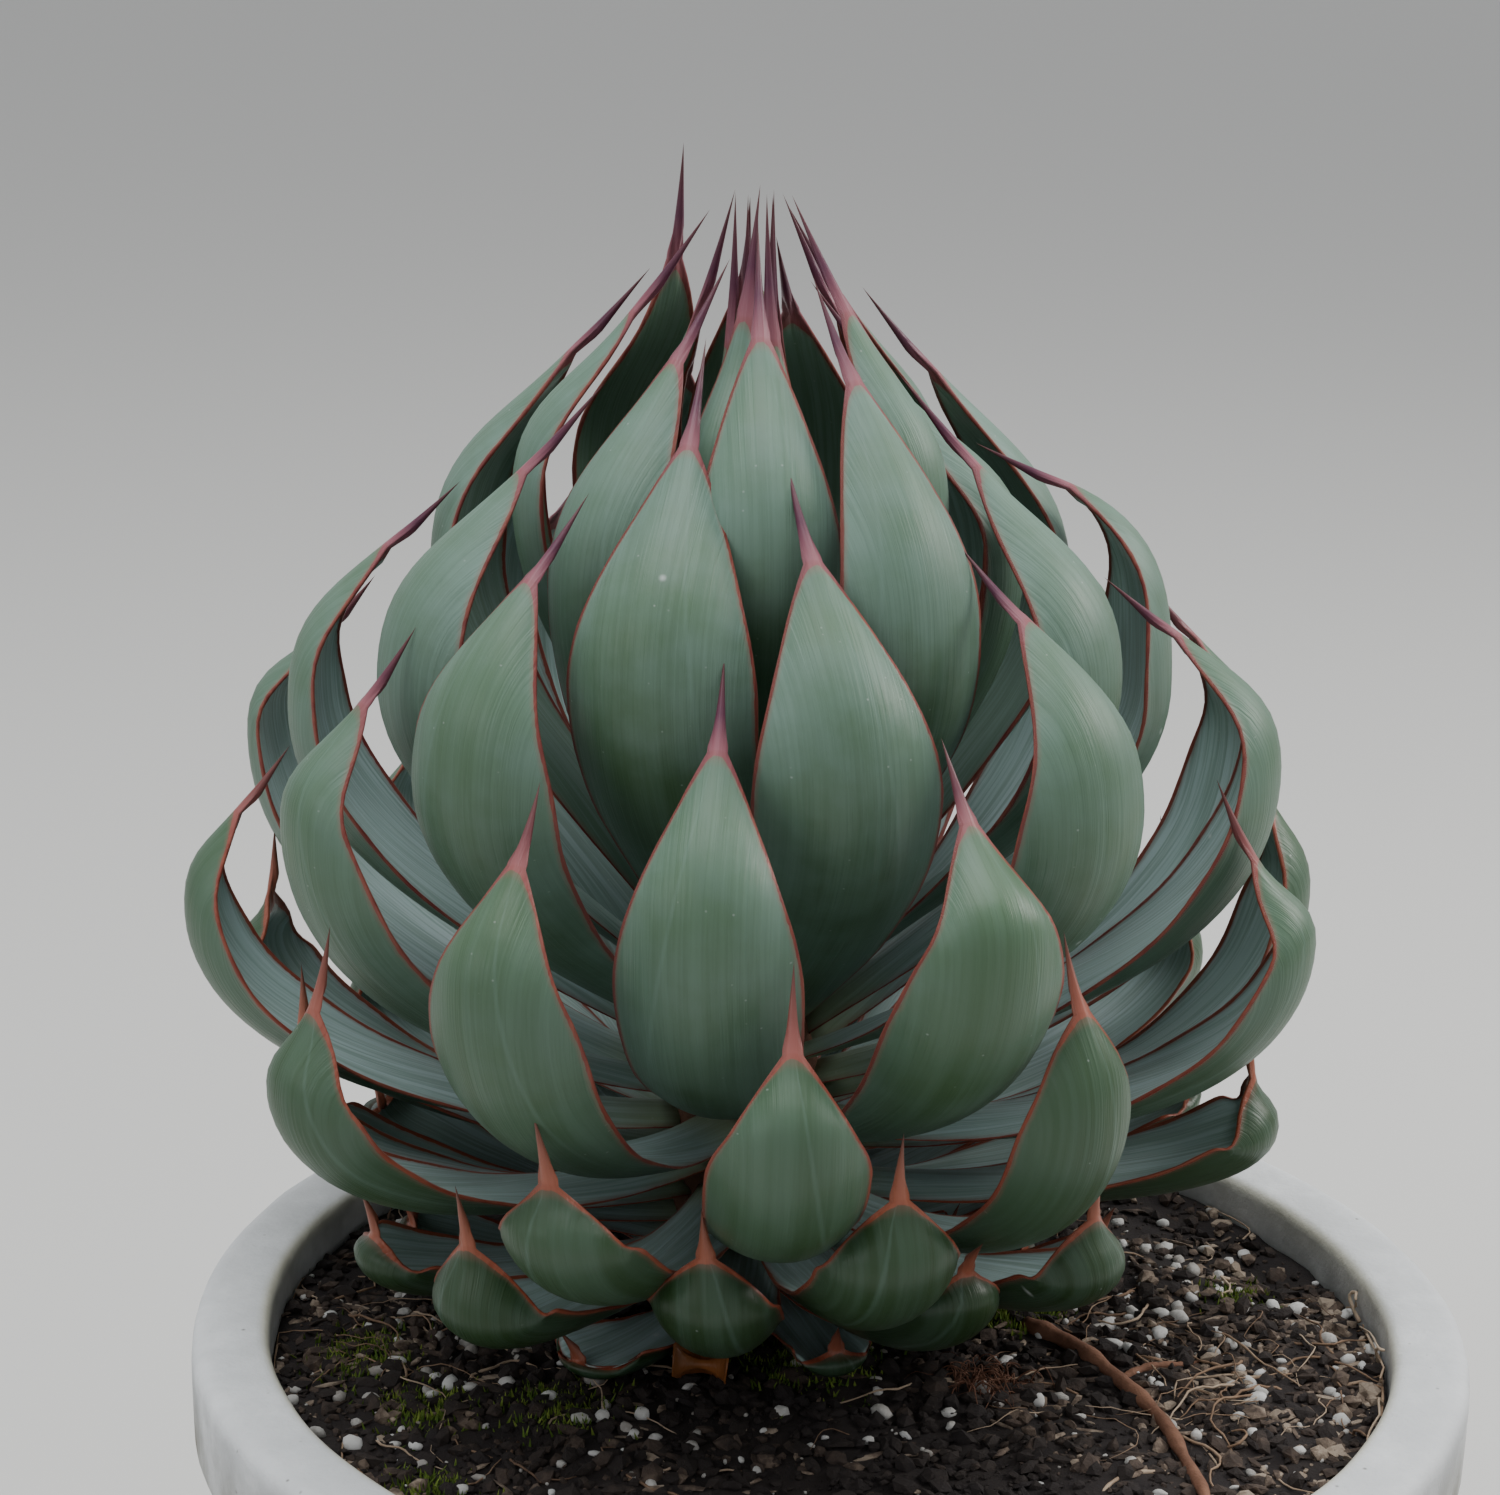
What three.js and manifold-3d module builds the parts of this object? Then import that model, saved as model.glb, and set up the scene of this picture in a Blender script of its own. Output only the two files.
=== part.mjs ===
// Potted mangave: a globe of cupped, spine-tipped succulent leaves in a thick-rimmed round bowl.
// Millimetres, +Z up. The origin is the centre of the bowl's underside.
// The leaves are numbered in the order they grew, along one golden-angle spiral:
// leaf 0 is the big one in front, lower numbers are older and lower down, higher ones are younger.
import * as THREE from "three";
import { mergeVertices } from "three/addons/utils/BufferGeometryUtils.js";
import Module from "manifold-3d";

const POT = {
  height: 190,
  rimRadius: 175, // outer edge of the rim
  mouthRadius: 154, // inner edge of the rim
  rimHeight: 30, // depth of the thick band under the rim
  wall: 15,
  tuck: 4, // how far the wall's outside lies inside the mouth's edge plus the wall
  footRadius: 112,
  floor: 16,
  edge: 3, // rounding of the rim's edges
  flank: [
    [0.36, 0.17],
    [0.72, 0.42],
  ], // bends of the flank: share of its flare, share of the height
  hollow: [0.42, 0.4], // the same for the bend of the inner wall, counted from the mouth
  drains: 3,
  drainRadius: 8,
  drainOffset: 62,
  sides: 48,
};

const SOIL = {
  drop: 12, // from the rim down to the soil
  relief: 2.2, // height of its lumps
  lumps: [19, 23, 11], // their lengths
  gap: 0.4, // to the wall and to the stem
  sides: 48,
  rings: 7,
};

// The stem stands a little off the bowl's centre and leans by a fiftieth.
const PLANT = { x: -22.75, y: 32.2, lean: -0.02 };

const STEM = {
  radius: 22,
  sunk: 60, // below the soil
  firstLeaf: 4, // height over the soil at which the oldest leaf grows
  rise: [1.05, 0.0055], // from one leaf to the next, and how that grows with each
  crownRise: 0.9, // the same for the youngest leaves, under the top
  shoulder: 56, // where the taper starts, above the soil
  top: 106,
  topRadius: 10.5,
  sides: 24,
};

const SPIRAL = {
  turn: 137.508, // degrees from one leaf to the next
  start: 12, // bearing of leaf 0: degrees from the front (-Y) towards the right (+X)
  oldest: -58,
  lastFused: -37, // leaves up to this one are small and are fused to the stem
  youngest: 18, // leaves after this one are rolled up in the bud
};

// How leaves change with age. Each row: leaf number, then the blade's tip (radius from the stem's
// axis, height over the soil), the spine's inward lean in degrees, the widest reach of the back
// (radius, height), the blade's width, the spine's length.
const GROWTH = [
  [-58, 72, 9, -15, 75, 8, 26, 9],
  [-54, 100, 35, -18, 103, 31, 28, 8],
  [-50, 112, 45, -16, 116, 39, 31, 12],
  [-44, 121, 57, -12, 125, 46, 33, 14],
  [-38, 126, 67, -5, 131, 51, 36, 16],
  [-34, 135, 85, 5, 142, 63, 37, 17],
  [-30, 142, 97, 6, 149, 76, 38, 18],
  [-24, 145, 120, 25, 156, 98, 39, 21],
  [-19, 141, 145, 40, 156, 120, 41, 23],
  [-15, 133, 178, 44, 155, 149, 44, 22],
  [-10, 114, 200, 47, 143, 163, 46, 24],
  [-5, 97, 220, 50, 125, 172, 47, 27],
  [0, 80, 238, 48, 111, 185, 49, 29],
  [4, 58, 256, 45, 101, 196, 47, 32],
  [8, 50, 274, 44, 89, 208, 42, 31],
  [13, 36, 283, 40, 72, 226, 34, 32],
  [18, 28, 284, 34, 54, 240, 26, 34],
  [22, 10, 276, 6, 20, 236, 13, 38],
  [26, 3, 272, 0, 8, 236, 8, 40],
];

// What sets single leaves off from that rule. turn is in degrees round the stem, lean in degrees
// more towards the axis, and slope in degrees more where the leaf leaves the stem. up raises the
// tip, lift the widest reach, out moves that reach outward, belly does so but leaves the tip,
// side moves the tip sideways, and wide is added to the blade's width.
const OWN = {
  "-58": { turn: 15, up: -4, lift: -4, side: -12, wide: 1 },
  "-55": { turn: 12, up: -13, lift: -14, out: -22, wide: -5 },
  "-53": { up: -10, lift: -6, out: -6 },
  "-52": { turn: 6, lift: 2 },
  "-51": { up: -2, lift: -1 },
  "-50": { turn: 14, up: -42, lift: -33, out: -56, wide: -15 },
  "-49": { up: -2 },
  "-48": { turn: 2, up: -10, lift: -2 },
  "-47": { turn: 1, up: 5, lift: 6, wide: -3, lean: -18 },
  "-46": { up: -3, lift: -1 },
  "-45": { up: -10, lift: -6 },
  "-44": { up: -37, lift: -24, out: -64, wide: -12 },
  "-42": { turn: 1, up: 7, lift: 5, side: -5, wide: -1 },
  "-40": { up: -2, lift: -2 },
  "-37": { turn: 6, up: -11, lift: -12, out: -2, side: -10, wide: -1 },
  "-36": { up: -17, out: -5 },
  "-34": { up: 3, lift: 8 },
  "-32": { up: 3, out: -10 },
  "-31": { turn: 14, up: -14, lift: -8 },
  "-29": { turn: 1.5, up: -9, lift: -1, side: -11, wide: -2, lean: -12 },
  "-26": { turn: 1, up: 20, lift: 16, out: -4, wide: -3, lean: 10 },
  "-27": { lean: -8, up: -3 },
  "-24": { lean: -6 },
  "-23": { turn: 8, up: 24, lift: 20 },
  "-21": { turn: 2, up: -4 },
  "-19": { turn: -4, lift: -4 },
  "-18": { turn: 19, up: -4, lift: -2, side: -5, wide: 1, lean: -12 },
  "-16": { turn: 5, lift: -3 },
  "-15": { turn: 2, up: 8 },
  "-14": { turn: 4 },
  "-13": { turn: 0.5, up: -6, side: 4, wide: 2 },
  "-11": { turn: 5, up: -4, belly: -6, lean: -5 },
  "-10": { turn: 7, up: 3, lift: 3, lean: 8 },
  "-8": { turn: 4, up: -13, lift: -15, side: 2, lean: -7, slope: -12 },
  "-5": { turn: 3.5, out: 3, side: -4, wide: 3, lean: 6 },
  "-3": { turn: 2, side: 3, wide: 2 },
  "-2": { turn: 5, up: 5, lean: 18 },
  "0": { turn: 6.5, up: -2, side: -6, lean: -4 },
  "2": { turn: 8, side: 8 },
  "3": { turn: 4, up: -2 },
  "5": { turn: 7, up: -2, side: -3, wide: 3 },
  "10": { turn: 16, up: -3, out: -12 },
  "11": { up: -12, out: -6 },
  "12": { turn: -6, up: 12, lift: 6, out: -6, side: 4, lean: -26 },
  "13": { turn: 6, wide: 5 },
  "16": { turn: -2, up: 4, lift: 4 },
  "18": { turn: 15, out: -14, wide: -8, lean: -16 },
};

// The rolled-up heart of the plant: a slim core with the youngest leaves standing round it.
const BUD = {
  foot: 112, // height over the soil where its leaves start
  rise: 1.5, // from one leaf to the next
  radius: 5, // at which they start, inside the core
  last: 26, // number of the youngest leaf
  core: [
    [0, 106.4],
    [9.5, 106.4],
    [10.5, 150],
    [11, 205],
    [8, 250],
    [3.5, 284],
    [0, 290],
  ],
};

// A brown root that lies on the soil in front on the right: places over the bowl's middle, radius.
const ROOT = {
  path: [
    [56, 19],
    [68, 6],
    [80, -14],
    [90, -36],
    [95, -60],
    [98, -84],
    [92, -104],
  ],
  branch: [
    [79, -12],
    [88, -6],
    [98, -3],
    [106, 3],
  ],
  radius: 2.6,
  branchRadius: 1.5,
  sunk: 0.9, // how deep its underside lies in the soil
  dive: 1.6, // how much deeper its ends lie
  clearance: 0.35, // round it, in its groove
  sides: 8,
};

const LEAF = {
  slope: [38, 2.1], // of leaf 0 where it leaves the stem, degrees, and more for each younger leaf
  slopeRange: [-4, 74],
  neckPull: 0.5, // how far the neck runs straight on, a share of its length
  bend: 0.62, // sharpness of the turn from neck to blade
  tipPull: 0.45, // how far the blade runs straight at its two ends, a share of its length
  baseSpread: 25, // half of the base's angle round the stem, degrees
  baseGap: 0.35, // between the base and the stem
  sunk: 6, // how far the base of a fused leaf reaches into the stem
  baseThickness: 5,
  thickness: 7.5, // of the blade at its middle
  neckCup: 16, // half-angle of the section's arc at the base, degrees
  cup: 56, // and at the bend and beyond
  widestAt: 0.66, // along the blade
  rise: 1.3, // how late the blade gets wide
  shoulder: 1.8, // how round it closes towards the tip
  span: 0.07, // the stretch to either side over which the sections' directions are evened out
  low: {
    from: -12, // the leaf from which on older ones turn into low scoops
    until: -29, // and the one that has become one, with these values in place of the others
    widestAt: 0.8,
    rise: 1.8,
    shoulder: 2.6,
    cup: 76,
    tipCup: 64, // half-angle at the tip
    span: 0.09,
  },
  inner: 0.8, // depth of the hollow face halfway to the margin, a share of that at the middle
  deepest: 0.85, // the most that it may be at the middle, a share of the section's radius
  spineWidth: 4.4,
  spineMiddle: { at: 0.45, width: 0.55, cup: 60, thickness: 0.27, side: 1.15 },
  spinePoint: 1.3, // the sway of its point, a share of the tip's
  stations: 9,
  oldStations: 7,
};

const COLOUR = {
  pot: 0xc9c9c4,
  soil: 0x3a2c24,
  leaf: 0x5f7f6c,
  stem: 0x5a6b4a,
  bud: 0x7a3348,
  root: 0x9a5a3a,
};

const wasm = await Module();
wasm.setup();

const radians = THREE.MathUtils.degToRad;
const soilTop = POT.height - SOIL.drop;

// A repeatable number from -1 to 1 for leaf n; each kind of wobble has its own key.
function wobble(n, key) {
  const s = Math.sin(n * 12.9898 + key * 78.233) * 43758.5453;
  return 2 * (s - Math.floor(s)) - 1;
}

function material(color, roughness) {
  return new THREE.MeshStandardMaterial({ color, roughness, metalness: 0 });
}

function named(name, geometry, color, roughness) {
  const mesh = new THREE.Mesh(geometry, material(color, roughness));
  mesh.name = name;
  return mesh;
}

const PLAIN = { turn: 0, up: 0, lift: 0, out: 0, belly: 0, side: 0, wide: 0, lean: 0, slope: 0 };

// The sizes of leaf n, read between the rows of GROWTH, with what is its own.
function growth(n) {
  const next = GROWTH.findIndex((row, i) => i > 0 && (n <= row[0] || i === GROWTH.length - 1));
  const [a, b] = [GROWTH[next - 1], GROWTH[next]];
  const t = THREE.MathUtils.clamp((n - a[0]) / (b[0] - a[0]), 0, 1);
  const [, tipR, tipZ, lean, reachR, reachZ, width, spine] = a.map((v, i) => v + (b[i] - v) * t);
  const own = { ...PLAIN, ...OWN[n] };
  return {
    bearing: radians(SPIRAL.start + n * SPIRAL.turn + own.turn + 1.2 * wobble(n, 1)),
    tip: new THREE.Vector2(tipR + Math.min(0, own.out), tipZ + own.up),
    reach: new THREE.Vector2(reachR + own.out + own.belly, reachZ + own.lift),
    lean: radians(lean + own.lean),
    width: width + own.wide,
    spine,
    slope: radians(own.slope),
    side: own.side + 1.5 * wobble(n, 2),
  };
}

// Height over the soil and radius at which leaf n leaves the stem.
function insertion(n) {
  if (n > SPIRAL.youngest)
    return { height: BUD.foot + BUD.rise * (n - SPIRAL.youngest), radius: BUD.radius };
  const age = n - SPIRAL.oldest;
  const low = STEM.firstLeaf + STEM.rise[0] * age + STEM.rise[1] * age * age;
  const height = Math.min(low, STEM.top - STEM.crownRise * (SPIRAL.youngest + 2 - n));
  return { height, radius: stemRadius(height) };
}

function stemRadius(height) {
  const t = (height - STEM.shoulder) / (STEM.top - STEM.shoulder);
  return STEM.radius + (STEM.topRadius - STEM.radius) * THREE.MathUtils.clamp(t, 0, 1);
}

// The slope of leaf n where it leaves the stem: flat when old, steep when young.
function startSlope(n) {
  return radians(THREE.MathUtils.clamp(LEAF.slope[0] + LEAF.slope[1] * n, ...LEAF.slopeRange));
}

// The middle line of a leaf's back in the upright plane through the stem's axis:
// out along the neck to its widest reach, then up and in to the tip.
function spineCurve(n) {
  const { tip, reach, lean, slope: ownSlope } = growth(n);
  const { height, radius } = insertion(n);
  const slope = startSlope(n) + ownSlope;
  const gap = n <= SPIRAL.lastFused ? -LEAF.sunk : LEAF.baseGap;
  const start = new THREE.Vector2(radius + gap, height);
  const out = start.distanceTo(reach);
  const up = reach.distanceTo(tip);
  const rise = new THREE.Vector2(-Math.sin(lean), Math.cos(lean));
  const neckPull = new THREE.Vector2(Math.cos(slope), Math.sin(slope)).multiplyScalar(
    LEAF.neckPull * out,
  );
  const drop = LEAF.bend * Math.max(reach.y - height - neckPull.y, 0.25 * out);
  const path = new THREE.CurvePath();
  path.add(
    new THREE.CubicBezierCurve(
      start,
      start.clone().add(neckPull),
      reach.clone().add(new THREE.Vector2(0, -drop)),
      reach,
    ),
  );
  path.add(
    new THREE.CubicBezierCurve(
      reach,
      reach.clone().add(new THREE.Vector2(0, LEAF.tipPull * up)),
      tip.clone().addScaledVector(rise, -LEAF.tipPull * up),
      tip,
    ),
  );
  return { path, tip, rise };
}

// What the low leaves have more of: they are shorter and rounder scoops, widest near the tip.
function shapeOf(n) {
  const { from, until, span, ...low } = LEAF.low;
  const t = THREE.MathUtils.clamp((n - from) / (until - from), 0, 1);
  const plain = { ...LEAF, tipCup: LEAF.cup };
  const mixed = Object.entries(low).map(([key, v]) => [key, plain[key] + (v - plain[key]) * t]);
  return { ...Object.fromEntries(mixed), span: LEAF.span + (span - LEAF.span) * t };
}

// Width of the blade at u, from 0 at the base to 1 at the tip.
function bladeWidth(u, base, widest, shape) {
  if (u < shape.widestAt) {
    const rise = Math.sin((Math.PI / 2) * (u / shape.widestAt)) ** shape.rise;
    return base + (widest - base) * rise;
  }
  const v = (u - shape.widestAt) / (1 - shape.widestAt);
  return LEAF.spineWidth + (widest - LEAF.spineWidth) * (1 - v ** shape.shoulder);
}

// The way the back runs at u, evened out over a short stretch, so that the sections fan out
// evenly through the bend of a low leaf.
function heading(path, u, span) {
  if (span === 0) return path.getTangentAt(u);
  const before = path.getPointAt(Math.max(0, u - span));
  return path.getPointAt(Math.min(1, u + span)).sub(before).normalize();
}

// One leaf as a closed skin: rings of eight points, an arc for the back and an arc for the
// hollow inner face, from the cap at the stem to the spine's point.
function leafGeometry(n, stations) {
  const { path, tip, rise } = spineCurve(n);
  const shape = shapeOf(n);
  const { bearing, width: widest, spine: spineLength, side: sway } = growth(n);
  const { radius } = insertion(n);
  const outward = new THREE.Vector3(Math.sin(bearing), -Math.cos(bearing), 0);
  const across = new THREE.Vector3(Math.cos(bearing), Math.sin(bearing), 0);
  const young = THREE.MathUtils.clamp((n - 4) / 20, 0, 1);
  const bulk = THREE.MathUtils.clamp(widest / 42, 0.3, 1) * (1 - 0.35 * young);
  const baseWidth = 2 * radius * Math.sin(radians(LEAF.baseSpread));
  const rings = [];
  const ring = (at, along, width, cup, full, side) => {
    const inward = new THREE.Vector2(-along.y, along.x);
    const arc = width / 2 / Math.sin(cup);
    const thick = Math.min(full, LEAF.deepest * arc);
    const points = [];
    const put = (share, depth) => {
      const angle = share * cup;
      const x = (arc - depth) * Math.sin(angle);
      const y = arc - (arc - depth) * Math.cos(angle);
      const p = at.clone().addScaledVector(inward, y);
      points.push(place(p, x + side, outward, across));
    };
    put(-1, 0);
    put(-0.5, 0);
    put(0, 0);
    put(0.5, 0);
    put(1, 0);
    put(0.5, thick * LEAF.inner);
    put(0, thick);
    put(-0.5, thick * LEAF.inner);
    rings.push(points);
  };
  for (let i = 0; i < stations; i++) {
    const u = i / (stations - 1);
    const at = path.getPointAt(u);
    const along = heading(path, u, shape.span);
    const settle = THREE.MathUtils.smoothstep(u, 0, 0.3);
    const square = new THREE.Vector2(1, 0).lerp(along, settle).normalize();
    const opened = THREE.MathUtils.smoothstep(u, 0.05, shape.widestAt);
    const closing = THREE.MathUtils.smoothstep(u, shape.widestAt, 1);
    const cup = shape.cup + (shape.tipCup - shape.cup) * closing;
    const spread = radians(LEAF.neckCup + (cup - LEAF.neckCup) * opened);
    const full = LEAF.baseThickness + (LEAF.thickness - LEAF.baseThickness) * Math.min(1, 3 * u);
    const taper = 1 - 0.5 * THREE.MathUtils.smoothstep(u, 0.7, 1);
    const width = bladeWidth(u, baseWidth, widest, shape);
    ring(at, square, width, spread, full * bulk * taper, sway * u * u);
  }
  const { at: share, width, cup, thickness, side } = LEAF.spineMiddle;
  const middle = tip.clone().addScaledVector(rise, share * spineLength);
  const thick = thickness * LEAF.spineWidth;
  ring(middle, rise, width * LEAF.spineWidth, radians(cup), thick, side * sway);
  const point = tip.clone().addScaledVector(rise, spineLength);
  return skin(rings, place(point, LEAF.spinePoint * sway, outward, across));
}

// A point of a leaf's own plane in the plant's frame, where the axis leans.
function place(p, x, outward, across) {
  return new THREE.Vector3(PLANT.x + PLANT.lean * p.y, PLANT.y, soilTop + p.y)
    .addScaledVector(outward, p.x)
    .addScaledVector(across, x);
}

// Joins rings of equal length with triangles, closing the first with a fan and the last with a point.
function skin(rings, point) {
  const count = rings[0].length;
  const vertices = rings.flat();
  const index = [];
  for (let r = 0; r + 1 < rings.length; r++)
    for (let i = 0; i < count; i++) {
      const a = r * count + i;
      const b = r * count + ((i + 1) % count);
      index.push(a, b, b + count, a, b + count, a + count);
    }
  for (let i = 1; i + 1 < count; i++) index.push(0, i + 1, i);
  const last = (rings.length - 1) * count;
  const apex = vertices.push(point) - 1;
  for (let i = 0; i < count; i++) index.push(last + i, last + ((i + 1) % count), apex);
  const geometry = new THREE.BufferGeometry().setFromPoints(vertices);
  geometry.setIndex(index);
  return geometry;
}

function toSolid(geometry) {
  const bare = geometry.clone();
  bare.deleteAttribute("normal");
  bare.deleteAttribute("uv");
  const merged = mergeVertices(bare, 1e-3);
  return new wasm.Manifold(
    new wasm.Mesh({
      numProp: 3,
      vertProperties: merged.attributes.position.array,
      triVerts: new Uint32Array(merged.index.array),
    }),
  );
}

function toGeometry(solid) {
  const mesh = solid.getMesh();
  const geometry = new THREE.BufferGeometry();
  geometry.setAttribute("position", new THREE.BufferAttribute(mesh.vertProperties, 3));
  geometry.setIndex(new THREE.BufferAttribute(mesh.triVerts, 1));
  return geometry;
}

// A body turned about the upright axis through (x, y), from (radius, height) pairs.
function turned(profile, sides, x = 0, y = 0) {
  const geometry = new THREE.LatheGeometry(
    profile.map(([r, z]) => new THREE.Vector2(r, z)),
    sides,
  );
  return geometry.rotateX(Math.PI / 2).translate(x, y, 0);
}

// The bowl's outer and inner profiles, as (radius, height) pairs from the bottom up.
function bowlProfiles() {
  const { height, rimRadius, mouthRadius, rimHeight, wall, footRadius, floor, edge } = POT;
  const bandFoot = height - rimHeight;
  const bowlTop = mouthRadius + wall - POT.tuck;
  const flare = bowlTop - footRadius;
  const outer = [
    [0, 0],
    [footRadius - edge, 0],
    [footRadius, edge],
    ...POT.flank.map(([out, up]) => [footRadius + out * flare, up * height]),
    [bowlTop, bandFoot - 2],
    [rimRadius - 1, bandFoot + 2],
    [rimRadius, height - edge],
    [rimRadius - edge, height],
  ];
  const inner = [
    [0, floor],
    [footRadius - wall, floor],
    [mouthRadius - POT.hollow[0] * flare, POT.hollow[1] * height],
    [mouthRadius, bandFoot],
    [mouthRadius, height - edge],
    [mouthRadius + edge, height],
  ];
  return { outer, inner };
}

function pot() {
  const { outer, inner } = bowlProfiles();
  let body = toSolid(turned([...outer, ...inner.toReversed()], POT.sides));
  for (let i = 0; i < POT.drains; i++) {
    const angle = (i * 2 * Math.PI) / POT.drains;
    const [x, y] = [POT.drainOffset * Math.sin(angle), POT.drainOffset * Math.cos(angle)];
    const drill = [
      [0, -2],
      [POT.drainRadius, -2],
      [POT.drainRadius, POT.floor + 2],
      [0, POT.floor + 2],
    ];
    body = body.subtract(toSolid(turned(drill, 12, x, y)));
  }
  return toGeometry(body);
}

// Height of the soil's lumpy top over its mean level.
function soilRelief(x, y) {
  const [along, across, both] = SOIL.lumps;
  const broad = 0.6 * Math.sin(x / along + 1.1) * Math.cos(y / across);
  const small = 0.4 * Math.sin((x + y) / both + 0.7);
  return SOIL.relief * (broad + small - 0.5);
}

// Leans a body with the plant: the stem and the hole that it stands in.
function leaned(geometry) {
  const shear = new THREE.Matrix4().makeShear(0, 0, 0, 0, PLANT.lean, 0);
  const level = new THREE.Matrix4().makeTranslation(PLANT.x, PLANT.y, soilTop);
  return geometry.applyMatrix4(shear).applyMatrix4(level);
}

// The soil fills the bowl: its side follows the inner wall, and its top is raised by soilRelief.
function soil() {
  const { inner } = bowlProfiles();
  const side = inner.filter(([r, z]) => r > 0 && z < soilTop).map(([r, z]) => [r - SOIL.gap, z]);
  side[0][1] += SOIL.gap;
  const mouth = POT.mouthRadius - SOIL.gap;
  const top = [];
  for (let i = 0; i < SOIL.rings; i++) top.push([mouth * (1 - i / SOIL.rings), soilTop]);
  const geometry = turned([[0, side[0][1]], ...side, ...top, [0, soilTop]], SOIL.sides);
  const p = geometry.attributes.position;
  for (let i = 0; i < p.count; i++)
    if (p.getZ(i) === soilTop) p.setZ(i, soilTop + soilRelief(p.getX(i), p.getY(i)));
  const hole = leaned(
    turned(
      [
        [0, -STEM.sunk - SOIL.gap],
        [STEM.radius + SOIL.gap + 0.1, -STEM.sunk - SOIL.gap],
        [STEM.radius + SOIL.gap + 0.1, 20],
        [0, 20],
      ],
      STEM.sides,
    ),
  );
  return toGeometry(toSolid(geometry).subtract(toSolid(hole)).subtract(root(ROOT.clearance)));
}

// A round bar along points on the soil, thinner towards its far end.
function bar(points, radius, spread) {
  const path = new THREE.CatmullRomCurve3(
    points.map(([x, y], i) => {
      const dive = i === 0 || i === points.length - 1 ? ROOT.dive : 0;
      return new THREE.Vector3(x, y, soilTop + soilRelief(x, y) - ROOT.sunk + radius - dive);
    }),
  );
  const steps = 3 * (points.length - 1);
  const rings = [];
  for (let k = 0; k <= steps; k++) {
    const at = path.getPointAt(k / steps);
    const along = path.getTangentAt(k / steps);
    const across = new THREE.Vector3(along.y, -along.x, 0).normalize();
    const up = new THREE.Vector3().crossVectors(across, along);
    const r = radius * (1 - 0.5 * (k / steps)) + spread;
    const reach = at.clone().addScaledVector(along, (k === 0 ? -1 : k === steps ? 1 : 0) * spread);
    const ring = [];
    for (let i = 0; i < ROOT.sides; i++) {
      const a = (2 * Math.PI * i) / ROOT.sides;
      const p = reach.clone().addScaledVector(across, r * Math.cos(a));
      ring.push(p.addScaledVector(up, -r * Math.sin(a)));
    }
    rings.push(ring);
  }
  const end = path.getPointAt(1).addScaledVector(path.getTangentAt(1), radius + spread);
  return toSolid(skin(rings, end));
}

function root(spread) {
  const main = bar(ROOT.path, ROOT.radius, spread);
  return main.add(bar(ROOT.branch, ROOT.branchRadius, spread));
}

// The stem, with the small oldest leaves grown out of it.
function stem() {
  const profile = [
    [0, -STEM.sunk],
    [STEM.radius, -STEM.sunk],
    [STEM.radius, STEM.shoulder],
    [STEM.topRadius, STEM.top],
    [0, STEM.top],
  ];
  let body = toSolid(leaned(turned(profile, STEM.sides)));
  for (let n = SPIRAL.oldest; n <= SPIRAL.lastFused; n++)
    body = body.add(toSolid(leafGeometry(n, LEAF.oldStations)));
  return toGeometry(body);
}

function bud() {
  let body = toSolid(leaned(turned(BUD.core, 12)));
  for (let n = SPIRAL.youngest + 1; n <= BUD.last; n++)
    body = body.add(toSolid(leafGeometry(n, LEAF.oldStations)));
  return toGeometry(body);
}

const plant = new THREE.Group();
plant.add(named("pot", pot(), COLOUR.pot, 0.75));
plant.add(named("soil", soil(), COLOUR.soil, 0.95));
plant.add(named("surface_root", toGeometry(root(0)), COLOUR.root, 0.8));
plant.add(named("stem_with_old_leaves", stem(), COLOUR.stem, 0.5));
for (let n = SPIRAL.lastFused + 1; n <= SPIRAL.youngest; n++) {
  const label = String(n - SPIRAL.lastFused).padStart(2, "0");
  plant.add(named(`leaf_${label}`, leafGeometry(n, LEAF.stations), COLOUR.leaf, 0.45));
}
plant.add(named("leaf_bud", bud(), COLOUR.bud, 0.45));

export default plant;
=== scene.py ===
# %% [markdown]
# # A potted mangave
#
# The plant is a globe of cupped leaves that close over one another like folded hands. It stands
# in a round bowl of pale cast stone, in dark, gritty soil. Measured solids of every piece come
# first, as a fixed frame. Each finer piece made here takes the place of one of them and keeps
# its form, so nothing has to be fitted afterwards.

# %% Load the solids
import math

import bmesh
import bpy
import numpy as np
from mathutils import Matrix, Vector


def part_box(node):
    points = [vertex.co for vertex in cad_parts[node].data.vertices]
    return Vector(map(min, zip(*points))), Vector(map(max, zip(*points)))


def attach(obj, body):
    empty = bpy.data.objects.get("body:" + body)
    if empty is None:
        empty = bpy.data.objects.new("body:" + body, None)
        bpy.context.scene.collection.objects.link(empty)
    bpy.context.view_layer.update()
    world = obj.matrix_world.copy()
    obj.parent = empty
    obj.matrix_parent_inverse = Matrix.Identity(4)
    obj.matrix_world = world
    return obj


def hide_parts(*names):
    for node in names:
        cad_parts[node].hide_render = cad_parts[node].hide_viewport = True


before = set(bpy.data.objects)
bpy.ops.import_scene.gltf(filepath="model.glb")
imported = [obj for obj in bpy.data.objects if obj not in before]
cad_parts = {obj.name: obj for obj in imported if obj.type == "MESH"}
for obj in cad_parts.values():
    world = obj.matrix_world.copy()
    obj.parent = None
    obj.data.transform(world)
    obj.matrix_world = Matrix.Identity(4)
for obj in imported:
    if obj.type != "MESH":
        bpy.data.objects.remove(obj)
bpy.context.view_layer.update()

MM = 0.001  # metres in a millimetre: the tables of this lesson are in millimetres
rim_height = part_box("pot")[1].z / MM

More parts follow.
